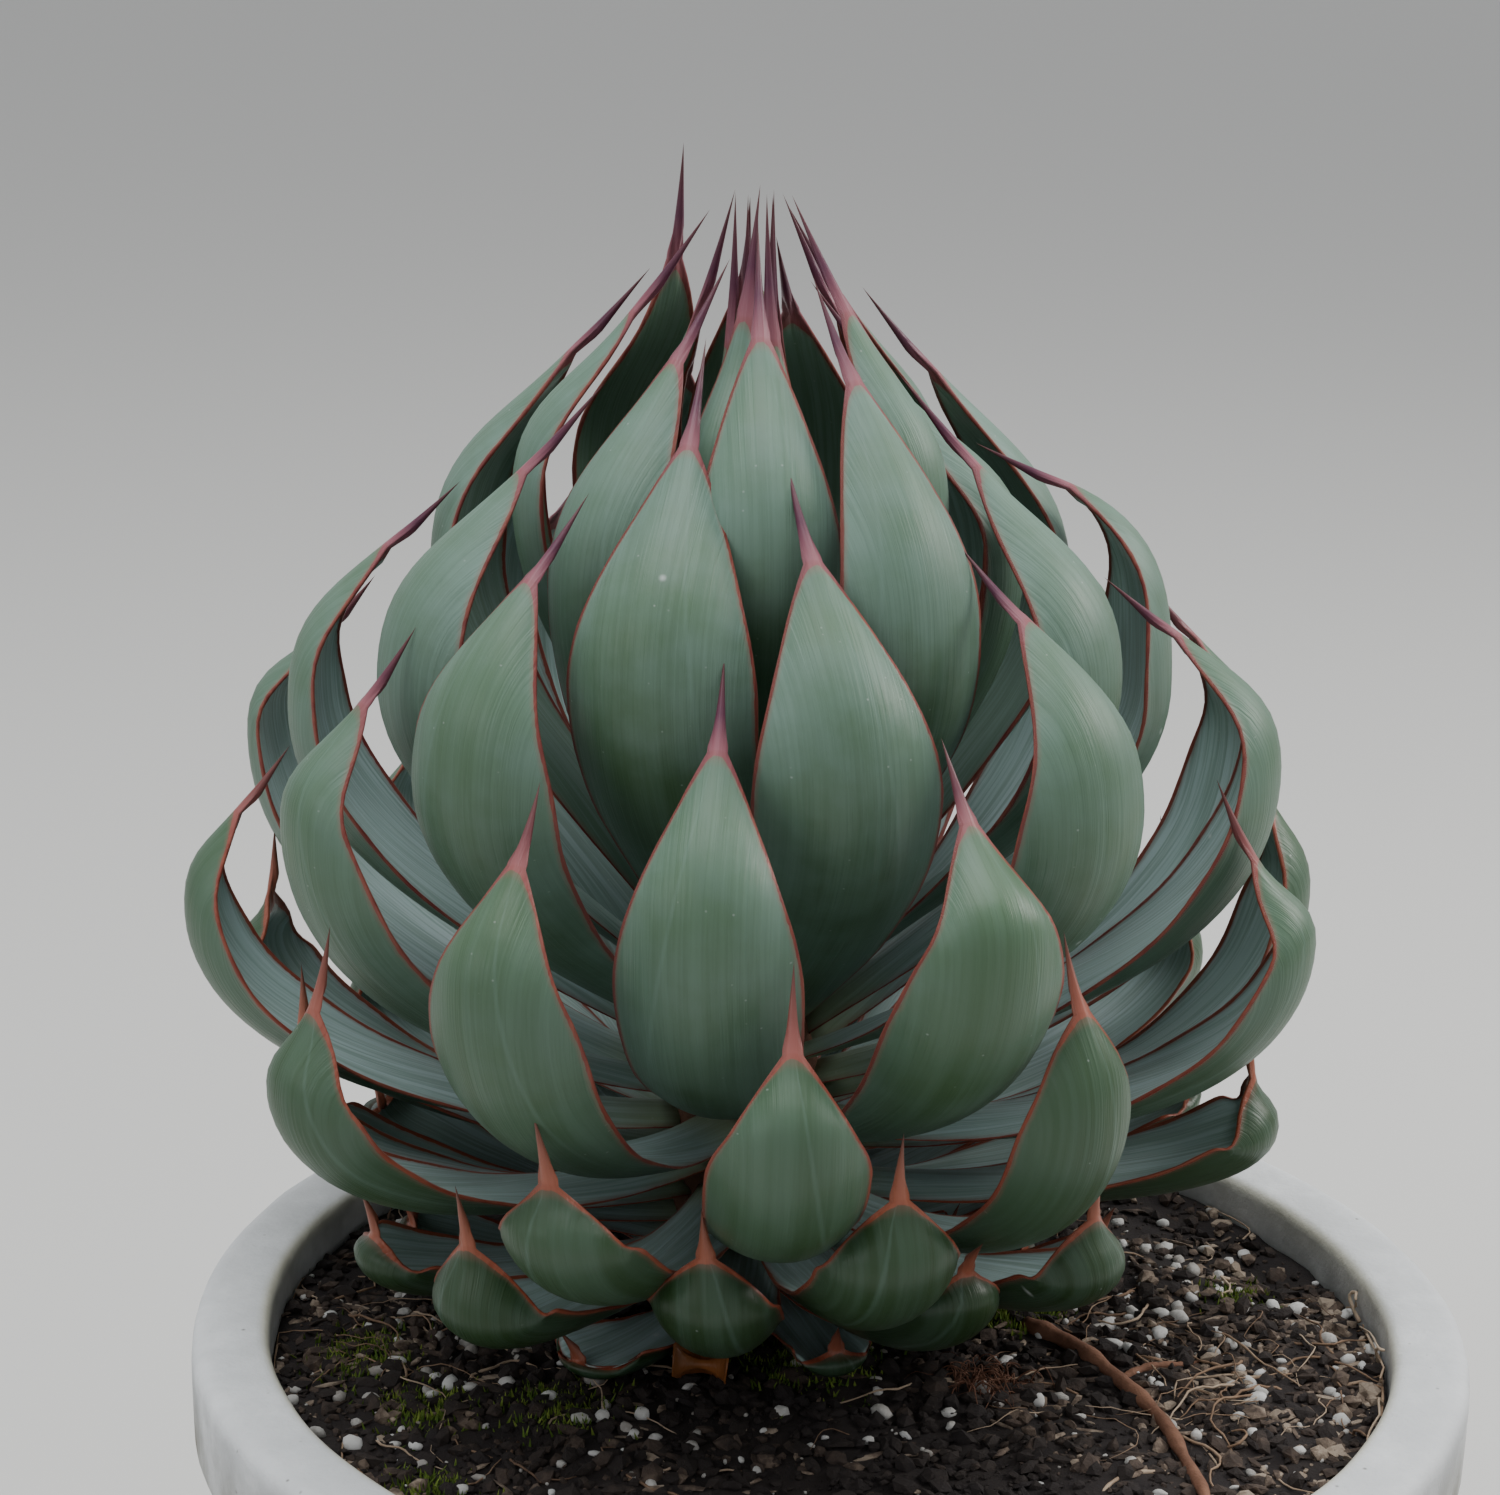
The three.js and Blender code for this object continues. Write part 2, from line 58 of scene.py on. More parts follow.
# %% [markdown]
# ## Camera, floor and light
#
# The photograph looks down on the bowl by about 17 degrees, and the camera leans over by two. A
# long lens keeps the globe round. The camera's three axes are written as they were worked out
# from the rim's ellipse; they make the columns of its rotation. A pale floor and large soft
# lamps stand in for the overcast sky of the photograph: light comes from above, so that the
# shoulders of the leaves shine and the hollows between them stay dark.

# %% Camera
CAMERA = {
    "place": (0.0, -0.907235, 0.633601),
    "right": (0.99899806, 0.03664811, 0.02568655),
    "up": (-0.03541232, 0.296362, 0.95441895),
    "lens": 86.4,  # on a sensor 36 mm wide
}
camera = bpy.data.objects.new("camera", bpy.data.cameras.new("camera"))
right, up = Vector(CAMERA["right"]), Vector(CAMERA["up"])
turn = Matrix((right, up, right.cross(up))).transposed()
camera.matrix_world = Matrix.Translation(CAMERA["place"]) @ turn.to_4x4()
camera.data.lens = CAMERA["lens"]
camera.data.sensor_width = 36
camera.data.clip_start, camera.data.clip_end = 0.05, 60
bpy.context.collection.objects.link(camera)
bpy.context.scene.camera = camera

# %% Floor and lamps
LAMPS = {  # place and width in metres, power in watts, colour
    "sky": {"place": (-0.15, 0.1, 1.9), "width": 1.7, "power": 29, "tint": (0.97, 0.99, 1.0)},
    "left": {"place": (-1.5, -1.1, 1.1), "width": 1.0, "power": 5, "tint": (0.95, 0.98, 1.0)},
    "right": {"place": (1.5, 0.5, 1.2), "width": 0.8, "power": 19, "tint": (1.0, 0.98, 0.94)},
}
TARGET = Vector((0, 0, 0.3))  # what the lamps point at


def soft_lamp(name, place, width, power, tint):
    lamp = bpy.data.lights.new(name, "AREA")
    lamp.shape, lamp.size = "DISK", width
    lamp.energy, lamp.color = power, tint
    made = bpy.data.objects.new(name, lamp)
    made.location = place
    made.rotation_euler = (TARGET - Vector(place)).to_track_quat("-Z", "Y").to_euler()
    bpy.context.collection.objects.link(made)


for name, facts in LAMPS.items():
    soft_lamp(name, **facts)

world = bpy.data.worlds.new("soft room")
world.use_nodes = True
world.node_tree.nodes["Background"].inputs["Color"].default_value = (0.95, 0.975, 1.0, 1)
world.node_tree.nodes["Background"].inputs["Strength"].default_value = 0.6
bpy.context.scene.world = world

bpy.ops.mesh.primitive_circle_add(vertices=96, radius=12, fill_type="NGON")
floor = bpy.context.object
floor.name = "floor"

# %% [markdown]
# ## A few words for building shaders
#
# A material is a small tree of nodes. These helpers place a node, give its inputs either a
# value or the output of another node, and return it, so that each finish further down reads
# like a recipe.

# %% Shader helpers
def node(tree, kind, inputs=None, **settings):
    """Adds a node of that kind; inputs maps a socket's name or number to a value or an output."""
    made = tree.nodes.new("ShaderNode" + kind)
    for name, value in settings.items():
        setattr(made, name, value)
    for key, value in (inputs or {}).items():
        if isinstance(value, bpy.types.NodeSocket):
            tree.links.new(value, made.inputs[key])
        else:
            made.inputs[key].default_value = value
    return made


def maths(tree, operation, *values, clamp=False):
    inputs = dict(enumerate(values))
    return node(tree, "Math", inputs, operation=operation, use_clamp=clamp).outputs[0]


def times(tree, first, second, clamp=False):
    return maths(tree, "MULTIPLY", first, second, clamp=clamp)


def plus(tree, first, second, clamp=False):
    return maths(tree, "ADD", first, second, clamp=clamp)


def mixed(tree, share, first, second):
    """A colour between two colours."""
    made = node(tree, "Mix", data_type="RGBA")
    for key, value in ((0, share), (6, first), (7, second)):
        if isinstance(value, bpy.types.NodeSocket):
            tree.links.new(value, made.inputs[key])
        else:
            made.inputs[key].default_value = (*value, 1) if key else value
    return made.outputs[2]


def between(tree, value, low, high, first=0.0, last=1.0):
    """A share that goes smoothly from first to last while value goes from low to high."""
    inputs = {"Value": value, 1: low, 2: high, 3: first, 4: last}
    return node(tree, "MapRange", inputs, interpolation_type="SMOOTHSTEP").outputs[0]


def layered(tree, colour, *layers):
    """Lays colours over one another: each layer is a mask, its strength and its colour."""
    for mask, strength, over in layers:
        share = mask if strength == 1 else times(tree, mask, strength)
        colour = mixed(tree, share, colour, over)
    return colour


def ramp(tree, value, stops):
    """A colour that runs through the stops, each a place from 0 to 1 and a colour."""
    made = node(tree, "ValToRGB", {0: value})
    elements = made.color_ramp.elements
    for i, (place, colour) in enumerate(stops):
        element = elements[i] if i < 2 else elements.new(place)
        element.position, element.color = place, (*colour, 1)
    return made.outputs[0]


def noise(tree, vector, scale, detail=3.0, roughness=0.55):
    inputs = {"Vector": vector, "Scale": scale, "Detail": detail, "Roughness": roughness}
    return node(tree, "TexNoise", inputs).outputs[0]


def scaled(tree, vector, scale):
    inputs = {0: vector, 1: scale}
    return node(tree, "VectorMath", inputs, operation="MULTIPLY").outputs[0]


def bumped(tree, height, distance, strength=1.0, normal=None):
    inputs = {"Height": height, "Distance": distance, "Strength": strength}
    if normal is not None:
        inputs["Normal"] = normal
    return node(tree, "Bump", inputs).outputs[0]


def attribute(tree, name):
    return node(tree, "Attribute", attribute_name=name)


def parts_of(tree, name):
    """The three numbers that a vector attribute holds."""
    return node(tree, "SeparateXYZ", {0: attribute(tree, name).outputs["Vector"]}).outputs


def new_material(name, **constants):
    """A material with one Principled shader; constants are the numbers that stay the same."""
    material = bpy.data.materials.new(name)
    material.use_nodes = True
    shader = material.node_tree.nodes["Principled BSDF"]
    for key, value in constants.items():
        shader.inputs[key.replace("_", " ")].default_value = value
    return material, material.node_tree, shader


# %% [markdown]
# ## Effects that several finishes share
#
# Living skin, cast stone and dry bark have three things in common: broad patches where the
# colour drifts, fine streaks that run one way, and small pale or dark specks. Each is a node
# group with named inputs. A finish places the group and gives it its own scale, so that the
# same effect never looks the same twice.

# %% Node groups
def new_group(name, inputs, outputs):
    """An empty group: inputs maps a name to its default, outputs is a list of names."""
    group = bpy.data.node_groups.new(name, "ShaderNodeTree")
    for label, default in inputs.items():
        kind = "NodeSocketVector" if default is None else "NodeSocketFloat"
        socket = group.interface.new_socket(label, in_out="INPUT", socket_type=kind)
        if default is not None:
            socket.default_value = default
    for label in outputs:
        group.interface.new_socket(label, in_out="OUTPUT", socket_type="NodeSocketFloat")
    start = group.nodes.new("NodeGroupInput")
    end = group.nodes.new("NodeGroupOutput")
    return group, start.outputs, end.inputs


def mottle_group():
    """Broad drift: 0 to 1, centred on a half, from two sizes of noise."""
    group, given, result = new_group("mottle", {"Vector": None, "Scale": 40.0}, ["Drift"])
    wide = noise(group, given["Vector"], given["Scale"], 2.0)
    narrow = noise(group, given["Vector"], times(group, given["Scale"], 4.7), 4.0)
    drift = plus(group, times(group, wide, 0.65), times(group, narrow, 0.35))
    group.links.new(between(group, drift, 0.34, 0.66), result["Drift"])
    return group


def streak_group():
    """Fine streaks along Y of the given vector, which is in millimetres."""
    inputs = {"Vector": None, "Across": 1.1, "Along": 0.03}
    group, given, result = new_group("streaks", inputs, ["Streak"])
    stretch = node(group, "CombineXYZ", {0: given["Across"], 1: given["Along"], 2: 0.5})
    fine = noise(group, scaled(group, given["Vector"], stretch.outputs[0]), 1.0, 3.0, 0.6)
    group.links.new(between(group, fine, 0.36, 0.64), result["Streak"])
    return group


def speck_group():
    """Scattered specks: 1 inside a speck and 0 outside; Share is how many places hold one."""
    inputs = {"Vector": None, "Scale": 200.0, "Size": 0.25, "Share": 0.1}
    group, given, result = new_group("specks", inputs, ["Speck"])
    cells = node(group, "TexVoronoi", {"Vector": given["Vector"], "Scale": given["Scale"]})
    chance = node(group, "SeparateColor", {0: cells.outputs["Color"]}).outputs[0]
    chosen = maths(group, "LESS_THAN", chance, given["Share"])
    limit = times(group, given["Size"], plus(group, chance, 0.7))
    inside = between(group, cells.outputs["Distance"], limit, 0.0)
    group.links.new(times(group, chosen, inside), result["Speck"])
    return group


MOTTLE, STREAKS, SPECKS = mottle_group(), streak_group(), speck_group()


def effect(tree, group, vector, **values):
    """The group's mask, placed in a material with values of its own."""
    made = node(tree, "Group", node_tree=group)
    tree.links.new(vector, made.inputs["Vector"])
    for key, value in values.items():
        made.inputs[key.capitalize()].default_value = value
    return made.outputs[0]


# %% [markdown]
# ## The skin of a leaf
#
# A leaf's green is painted darker low down, for the shade that lies there between the leaves, and
# it is greyer and bluer towards its tip and its edges, where a waxy bloom lies on it. Its margin is
# a strip of smooth, red-brown horn that runs into the spine.
# The mesh tells the shader where on the leaf it is: attributes carry the place along and across,
# the distance to the horn, and the age of the leaf. So one material serves every leaf, old
# leaves turn greener with redder horn, and young spines are dark magenta.

# %% Leaf material
# The lower of the first two greens is painted shade low on a leaf, the higher one the lit green
# further up.
GREEN_LOW_SHADED = (0.030, 0.066, 0.026)
GREEN_HIGH_LIT = (0.070, 0.138, 0.060)
GREEN_YOUNG = (0.066, 0.140, 0.062)
GREEN_OLD = (0.016, 0.040, 0.009)
BLOOM = (0.205, 0.315, 0.275)
INNER = (0.400, 0.520, 0.525)
DUST = (0.62, 0.66, 0.64)
HORN_OLD, HORN_YOUNG = (0.270, 0.060, 0.030), (0.190, 0.038, 0.034)
BLUSH = (0.270, 0.105, 0.080)
SPINE_OLD = [(0.0, (0.34, 0.105, 0.060)), (0.45, (0.27, 0.090, 0.055)), (1.0, (0.09, 0.035, 0.025))]
SPINE_YOUNG = [(0.0, (0.30, 0.105, 0.130)), (0.4, (0.095, 0.022, 0.050)), (1.0, (0.10, 0.03, 0.03))]
HORN_DARK, HORN_LIGHT = (0.11, 0.022, 0.018), (0.52, 0.20, 0.12)
PALE_FOOT = (0.30, 0.36, 0.20)
DRY, DRY_DARK = (0.330, 0.110, 0.030), (0.10, 0.05, 0.02)


def leaf_material():
    material, tree, shader = new_material("leaf skin", Specular_IOR_Level=0.38, Coat_Roughness=0.3)
    grain = attribute(tree, "grain").outputs["Vector"]
    along, across, inner = parts_of(tree, "place")
    age, tone, dry = parts_of(tree, "kind")
    horn = attribute(tree, "horn").outputs["Fac"]
    crease = attribute(tree, "crease").outputs["Fac"]
    edge = times(tree, across, across)

    drift = effect(tree, MOTTLE, grain, scale=0.022)
    streak = effect(tree, STREAKS, grain, across=1.0, along=0.018)
    wide_streak = effect(tree, STREAKS, grain, across=0.22, along=0.006)
    speck = effect(tree, SPECKS, grain, scale=0.30, size=0.17, share=0.14)
    scar = effect(tree, SPECKS, grain, scale=0.055, size=0.10, share=0.24)

    # Painted shade: the green brightens from the dark lower green to the lit one as the leaf rises
    # out of the shade between the leaves; the same share also thickens the bloom.
    rise = between(tree, along, 0.35, 0.95)
    green = layered(
        tree,
        GREEN_LOW_SHADED,
        (rise, 1, GREEN_HIGH_LIT),
        (between(tree, age, 0.72, 0.92), 1, GREEN_YOUNG),
        (drift, 0.35, GREEN_LOW_SHADED),
        (between(tree, age, 0.66, 0.18), 1, GREEN_OLD),
    )
    wax = maths(tree, "MULTIPLY_ADD", rise, 0.36, times(tree, edge, 0.30))
    wax = plus(tree, wax, maths(tree, "MULTIPLY_ADD", drift, 0.34, -0.16))
    wax = plus(tree, wax, maths(tree, "MULTIPLY_ADD", tone, 0.14, -0.02))
    wax = times(tree, wax, between(tree, age, 0.28, 0.80, 0.05, 1.0))
    wax = times(tree, wax, 0.9, clamp=True)
    line = between(tree, maths(tree, "ABSOLUTE", crease), 0.9, 0.1)
    line = times(tree, line, between(tree, along, 0.35, 0.6, 0.0, 0.12))
    waxy = ((wax, 1, BLOOM), (streak, 0.16, GREEN_LOW_SHADED), (wide_streak, 0.10, BLOOM), (line, 1, BLOOM))
    back = layered(tree, green, *waxy)

    young_face = between(tree, age, 0.62, 0.85, 0.0, 0.75)
    worn = ((streak, 0.45, GREEN_HIGH_LIT), (wide_streak, 0.35, BLOOM), (young_face, 1, GREEN_YOUNG))
    front = layered(tree, INNER, *worn)
    pale = between(tree, along, 0.16, 0.02)
    marks = maths(tree, "MAXIMUM", times(tree, speck, 0.30), times(tree, scar, 0.55))
    skin = layered(tree, back, (inner, 1, front), (pale, 0.7, PALE_FOOT), (marks, 1, DUST))

    rough_edge = maths(tree, "MULTIPLY_ADD", noise(tree, grain, 0.35, 3.0), 0.9, -0.45)
    horn = plus(tree, horn, rough_edge)
    is_horn = between(tree, horn, -0.12, 0.12)
    near_horn = between(tree, horn, -1.6, 0.2)
    skin = mixed(tree, times(tree, near_horn, 0.38), skin, BLUSH)

    on_spine = maths(tree, "SUBTRACT", along, 1.0, clamp=True)
    young = between(tree, age, 0.30, 0.62)
    spine = mixed(tree, young, ramp(tree, on_spine, SPINE_OLD), ramp(tree, on_spine, SPINE_YOUNG))
    strip = mixed(tree, young, HORN_OLD, HORN_YOUNG)
    strip = layered(tree, strip, (drift, 0.35, HORN_DARK), (streak, 0.20, HORN_LIGHT))
    horny = mixed(tree, between(tree, along, 0.94, 1.03), strip, spine)
    colour = mixed(tree, is_horn, skin, horny)
    colour = mixed(tree, dry, colour, mixed(tree, drift, DRY, DRY_DARK))
    tree.links.new(colour, shader.inputs["Base Color"])

    rough = maths(tree, "MULTIPLY_ADD", wax, 0.12, 0.36)
    rough = plus(tree, rough, times(tree, drift, 0.08))
    rough = maths(tree, "SUBTRACT", rough, times(tree, is_horn, 0.06))
    tree.links.new(rough, shader.inputs["Roughness"])

    fine = maths(tree, "MULTIPLY_ADD", streak, 0.6, times(tree, drift, 0.8))
    fine = plus(tree, fine, times(tree, marks, 0.7))
    tree.links.new(bumped(tree, fine, 0.25 * MM, 0.5), shader.inputs["Normal"])
    return material


LEAF_SKIN = leaf_material()

# %% [markdown]
# ## How the plant grows
#
# Leaves follow one another at the golden angle, 137.508 degrees. Leaf 0 is the big one in front;
# lower numbers are older, lower and smaller, and higher ones are younger and more upright. A
# table of growth gives the sizes at a few ages, and a leaf between two of them takes sizes
# between theirs. No plant follows its rule strictly, so a second, short table says what sets
# single leaves off from it. These are the rules of the solids, so each leaf lands on its own.

# %% The rules of growth, in millimetres and degrees
PLANT = {"x": -22.75, "y": 32.2, "lean": -0.02, "soil": rim_height - 12}
STEM = {
    "radius": 22,
    "first_leaf": 4,
    "rise": (1.05, 0.0055),
    "crown_rise": 0.9,
    "shoulder": 56,
    "top": 106,
    "top_radius": 10.5,
}
SPIRAL = {"turn": 137.508, "start": 12, "oldest": -58, "last_old": -37, "youngest": 18}
BUD = {"foot": 112, "rise": 1.5, "radius": 5, "last": 26}
GROWTH = np.array([  # number, tip out and up, lean, reach out and up, width, spine
    (-58, 72, 9, -15, 75, 8, 26, 9),
    (-54, 100, 35, -18, 103, 31, 28, 8),
    (-50, 112, 45, -16, 116, 39, 31, 12),
    (-44, 121, 57, -12, 125, 46, 33, 14),
    (-38, 126, 67, -5, 131, 51, 36, 16),
    (-34, 135, 85, 5, 142, 63, 37, 17),
    (-30, 142, 97, 6, 149, 76, 38, 18),
    (-24, 145, 120, 25, 156, 98, 39, 21),
    (-19, 141, 145, 40, 156, 120, 41, 23),
    (-15, 133, 178, 44, 155, 149, 44, 22),
    (-10, 114, 200, 47, 143, 163, 46, 24),
    (-5, 97, 220, 50, 125, 172, 47, 27),
    (0, 80, 238, 48, 111, 185, 49, 29),
    (4, 58, 256, 45, 101, 196, 47, 32),
    (8, 50, 274, 44, 89, 208, 42, 31),
    (13, 36, 283, 40, 72, 226, 34, 32),
    (18, 28, 284, 34, 54, 240, 26, 34),
    (22, 10, 276, 6, 20, 236, 13, 38),
    (26, 3, 272, 0, 8, 236, 8, 40),
], float)
OWN = {  # what sets a leaf off: turn, up, lift, out, belly, side, wide, lean, slope
    -58: dict(turn=15, up=-4, lift=-4, side=-12, wide=1),
    -55: dict(turn=12, up=-13, lift=-14, out=-22, wide=-5),
    -53: dict(up=-10, lift=-6, out=-6),
    -52: dict(turn=6, lift=2),
    -51: dict(up=-2, lift=-1),
    -50: dict(turn=14, up=-42, lift=-33, out=-56, wide=-15),
    -49: dict(up=-2),
    -48: dict(turn=2, up=-10, lift=-2),
    -47: dict(turn=1, up=5, lift=6, wide=-3, lean=-18),
    -46: dict(up=-3, lift=-1),
    -45: dict(up=-10, lift=-6),
    -44: dict(up=-37, lift=-24, out=-64, wide=-12),
    -42: dict(turn=1, up=7, lift=5, side=-5, wide=-1),
    -40: dict(up=-2, lift=-2),
    -37: dict(turn=6, up=-11, lift=-12, out=-2, side=-10, wide=-1),
    -36: dict(up=-17, out=-5),
    -34: dict(up=3, lift=8),
    -32: dict(up=3, out=-10),
    -31: dict(turn=14, up=-14, lift=-8),
    -29: dict(turn=1.5, up=-9, lift=-1, side=-11, wide=-2, lean=-12),
    -27: dict(lean=-8, up=-3),
    -26: dict(turn=1, up=20, lift=16, out=-4, wide=-3, lean=10),
    -24: dict(lean=-6),
    -23: dict(turn=8, up=24, lift=20),
    -21: dict(turn=2, up=-4),
    -19: dict(turn=-4, lift=-4),
    -18: dict(turn=19, up=-4, lift=-2, side=-5, wide=1, lean=-12),
    -16: dict(turn=5, lift=-3),
    -15: dict(turn=2, up=8),
    -14: dict(turn=4),
    -13: dict(turn=0.5, up=-6, side=4, wide=2),
    -11: dict(turn=5, up=-4, belly=-6, lean=-5),
    -10: dict(turn=7, up=3, lift=3, lean=8),
    -8: dict(turn=4, up=-13, lift=-15, side=2, lean=-7, slope=-12),
    -5: dict(turn=3.5, out=3, side=-4, wide=3, lean=6),
    -3: dict(turn=2, side=3, wide=2),
    -2: dict(turn=5, up=5, lean=18),
    0: dict(turn=6.5, up=-2, side=-6, lean=-4),
    2: dict(turn=8, side=8),
    3: dict(turn=4, up=-2),
    5: dict(turn=7, up=-2, side=-3, wide=3),
    10: dict(turn=16, up=-3, out=-12),
    11: dict(up=-12, out=-6),
    12: dict(turn=-6, up=12, lift=6, out=-6, side=4, lean=-26),
    13: dict(turn=6, wide=5),
    16: dict(turn=-2, up=4, lift=4),
    18: dict(turn=15, out=-14, wide=-8, lean=-16),
}


def wobble(n, key):
    """A repeatable number from -1 to 1 for leaf n; each kind of wobble has its own key."""
    return 2 * ((math.sin(n * 12.9898 + key * 78.233) * 43758.5453) % 1) - 1


def smooth(value, low, high):
    share = np.clip((value - low) / (high - low), 0, 1)
    return share * share * (3 - 2 * share)


def growth(n):
    """The sizes of leaf n, read between the rows of GROWTH, with what is its own."""
    tip_r, tip_z, lean, reach_r, reach_z, width, spine = (
        np.interp(n, GROWTH[:, 0], column) for column in GROWTH.T[1:]
    )
    own = dict.fromkeys(("turn", "up", "lift", "out", "belly", "side", "wide", "lean", "slope"), 0)
    own.update(OWN.get(n, {}))
    turned = SPIRAL["start"] + n * SPIRAL["turn"] + own["turn"] + 1.2 * wobble(n, 1)
    return {
        "bearing": math.radians(turned),
        "tip": np.array((tip_r + min(0, own["out"]), tip_z + own["up"])),
        "reach": np.array((reach_r + own["out"] + own["belly"], reach_z + own["lift"])),
        "lean": math.radians(lean + own["lean"]),
        "width": width + own["wide"],
        "spine": spine,
        "slope": math.radians(own["slope"] + np.clip(38 + 2.1 * n, -4, 74)),
        "side": own["side"] + 1.5 * wobble(n, 2),
    }


def stem_radius(height):
    share = (height - STEM["shoulder"]) / (STEM["top"] - STEM["shoulder"])
    return STEM["radius"] + (STEM["top_radius"] - STEM["radius"]) * np.clip(share, 0, 1)


def insertion(n):
    """Height over the soil and radius at which leaf n leaves the stem."""
    if n > SPIRAL["youngest"]:
        return BUD["foot"] + BUD["rise"] * (n - SPIRAL["youngest"]), BUD["radius"]
    age = n - SPIRAL["oldest"]
    low = STEM["first_leaf"] + STEM["rise"][0] * age + STEM["rise"][1] * age * age
    height = min(low, STEM["top"] - STEM["crown_rise"] * (SPIRAL["youngest"] + 2 - n))
    return height, stem_radius(height)


# %% [markdown]
# ## The line of a leaf's back
#
# Seen from the side, a leaf leaves the stem in a long, low neck, turns up at its widest reach and
# closes in towards the axis. Two Bezier curves, end to end, draw that line. Its points come out
# at even distances, because the rings of the leaf are to stand at even distances too.

# %% The back's line
NECK_PULL, BEND, TIP_PULL = 0.5, 0.62, 0.45  # handles, as shares of the stretch they bend
SUNK = {"old": 6.0, "leaf": 1.5}  # how far a base reaches into the stem


def bezier(corners, count=160):
    t = np.linspace(0, 1, count)[:, None]
    a, b, c, d = corners
    return (1 - t) ** 3 * a + 3 * (1 - t) ** 2 * t * b + 3 * (1 - t) * t**2 * c + t**3 * d


def back_line(n, shares, span):
    """Points (out, up) and directions of leaf n's back at the given shares of its length."""
    size = growth(n)
    height, radius = insertion(n)
    sunk = SUNK["old"] if n <= SPIRAL["last_old"] else SUNK["leaf"]
    start = np.array((radius - sunk, height))
    reach, tip = size["reach"], size["tip"]
    out, rise = np.linalg.norm(reach - start), np.linalg.norm(tip - reach)
    heading = np.array((-math.sin(size["lean"]), math.cos(size["lean"])))
    neck = NECK_PULL * out * np.array((math.cos(size["slope"]), math.sin(size["slope"])))
    drop = BEND * max(reach[1] - height - neck[1], 0.25 * out)
    lower = bezier((start, start + neck, reach - (0, drop), reach))
    upper = bezier((reach, reach + (0, TIP_PULL * rise), tip - TIP_PULL * rise * heading, tip))
    line = np.vstack((lower, upper[1:]))
    lengths = np.append(0, np.cumsum(np.linalg.norm(np.diff(line, axis=0), axis=1)))

    def places(at):
        at = np.clip(at, 0, 1) * lengths[-1]
        return np.column_stack([np.interp(at, lengths, line[:, i]) for i in (0, 1)])

    ways = places(shares + span) - places(shares - span)
    ways /= np.linalg.norm(ways, axis=1)[:, None]
    return places(shares), ways, lengths[-1], heading, size


# %% [markdown]
# ## A leaf as one closed skin
#
# A leaf could be a flat plane, bent and thickened by modifiers. Rings give more control: each
# ring is a section of the leaf, an arc for the back, a shallower arc for the hollow inner face
# and a small round bead of horn at each margin. Along the last stretch the section closes into
# the round spine. While the rings are laid, every point notes where on the leaf it is, for the
# shader: along, across, inner or outer face, and how far it lies from the horn.

# %% Sections of a leaf
BACK = np.linspace(-1, 1, 15)  # shares of the back's arc, from margin to margin
FRONT = np.linspace(1, -1, 11)  # and back across the inner face
ROUND_BEAD = np.radians((75, 28, -28, -75))  # round a bead, from the back to the inner face
BLADE_RINGS, SPINE_RINGS = 44, 11
SECTION = {
    "base_spread": math.radians(25),
    "base_thickness": 5.0,
    "thickness": 7.5,
    "neck_cup": math.radians(16),
    "deepest": 0.85,
    "tip_width": 4.4,
    "bead": 0.62,  # radius of the horny margin
}
UPPER = {"widest_at": 0.66, "rise": 1.3, "shoulder": 1.8, "cup": 56, "tip_cup": 56, "span": 0.07}
LOWER = {"widest_at": 0.80, "rise": 1.8, "shoulder": 2.6, "cup": 76, "tip_cup": 64, "span": 0.09}
LOW_FROM, LOW_UNTIL = -12, -29  # between these leaves one form turns into the other
DRY_LEAF = -50  # a dead remnant low on the stem
BACK_TURN, FRONT_TURN = 80, 78  # degrees that the two faces take up round the spine
BEAD_TURN = np.array((84, 88, 92, 96))


def shape_of(n):
    """Low leaves are shorter and rounder scoops than upper ones, and widest near the tip."""
    share = np.clip((n - LOW_FROM) / (LOW_UNTIL - LOW_FROM), 0, 1)
    return {key: value + (LOWER[key] - value) * share for key, value in UPPER.items()}


def blade_width(u, base, widest, shape):
    at = shape["widest_at"]
    rise = np.sin(np.pi / 2 * np.clip(u / at, 0, 1)) ** shape["rise"]
    v = np.clip((u - at) / (1 - at), 0, 1)
    narrow = SECTION["tip_width"] + (widest - SECTION["tip_width"]) * (1 - v ** shape["shoulder"])
    return np.where(u < at, base + (widest - base) * rise, narrow)


def sections(width, cup, thick, bead):
    """x across, y inward, distance to the horn and share across, for each ring and point."""
    arc = width / 2 / np.sin(cup)
    thick = np.minimum(thick, SECTION["deepest"] * arc)
    clear = np.minimum(1.5 * bead / (arc * cup), 0.45)
    share = BACK * (1 - clear)
    back = arc * np.sin(share * cup), arc - arc * np.cos(share * cup)
    inner = FRONT * (1 - clear)
    depth = thick * (1 - np.abs(inner) ** 2.3)
    front = (arc - depth) * np.sin(inner * cup), arc - (arc - depth) * np.cos(inner * cup)
    at = cup - 0.7 * bead / arc
    middle = arc * np.sin(at), arc - arc * np.cos(at) + 0.35 * bead
    way, out = (np.cos(cup), np.sin(cup)), (np.sin(cup), -np.cos(cup))
    right = [
        m + bead * (np.cos(ROUND_BEAD) * w + np.sin(ROUND_BEAD) * o)
        for m, w, o in zip(middle, way, out)
    ]
    left = (-right[0][:, ::-1], right[1][:, ::-1])
    x, y = (np.hstack(parts) for parts in zip(back, right, front, left))
    bare = [-arc * cup * (1 - np.abs(s)) + 1.1 * bead for s in (share, inner)]
    horny = np.full(right[0].shape, 0.9)
    horn = np.hstack((bare[0], horny, bare[1], horny))
    across = np.hstack((share, np.ones_like(horny), inner, -np.ones_like(horny)))
    return x, y, horn, across


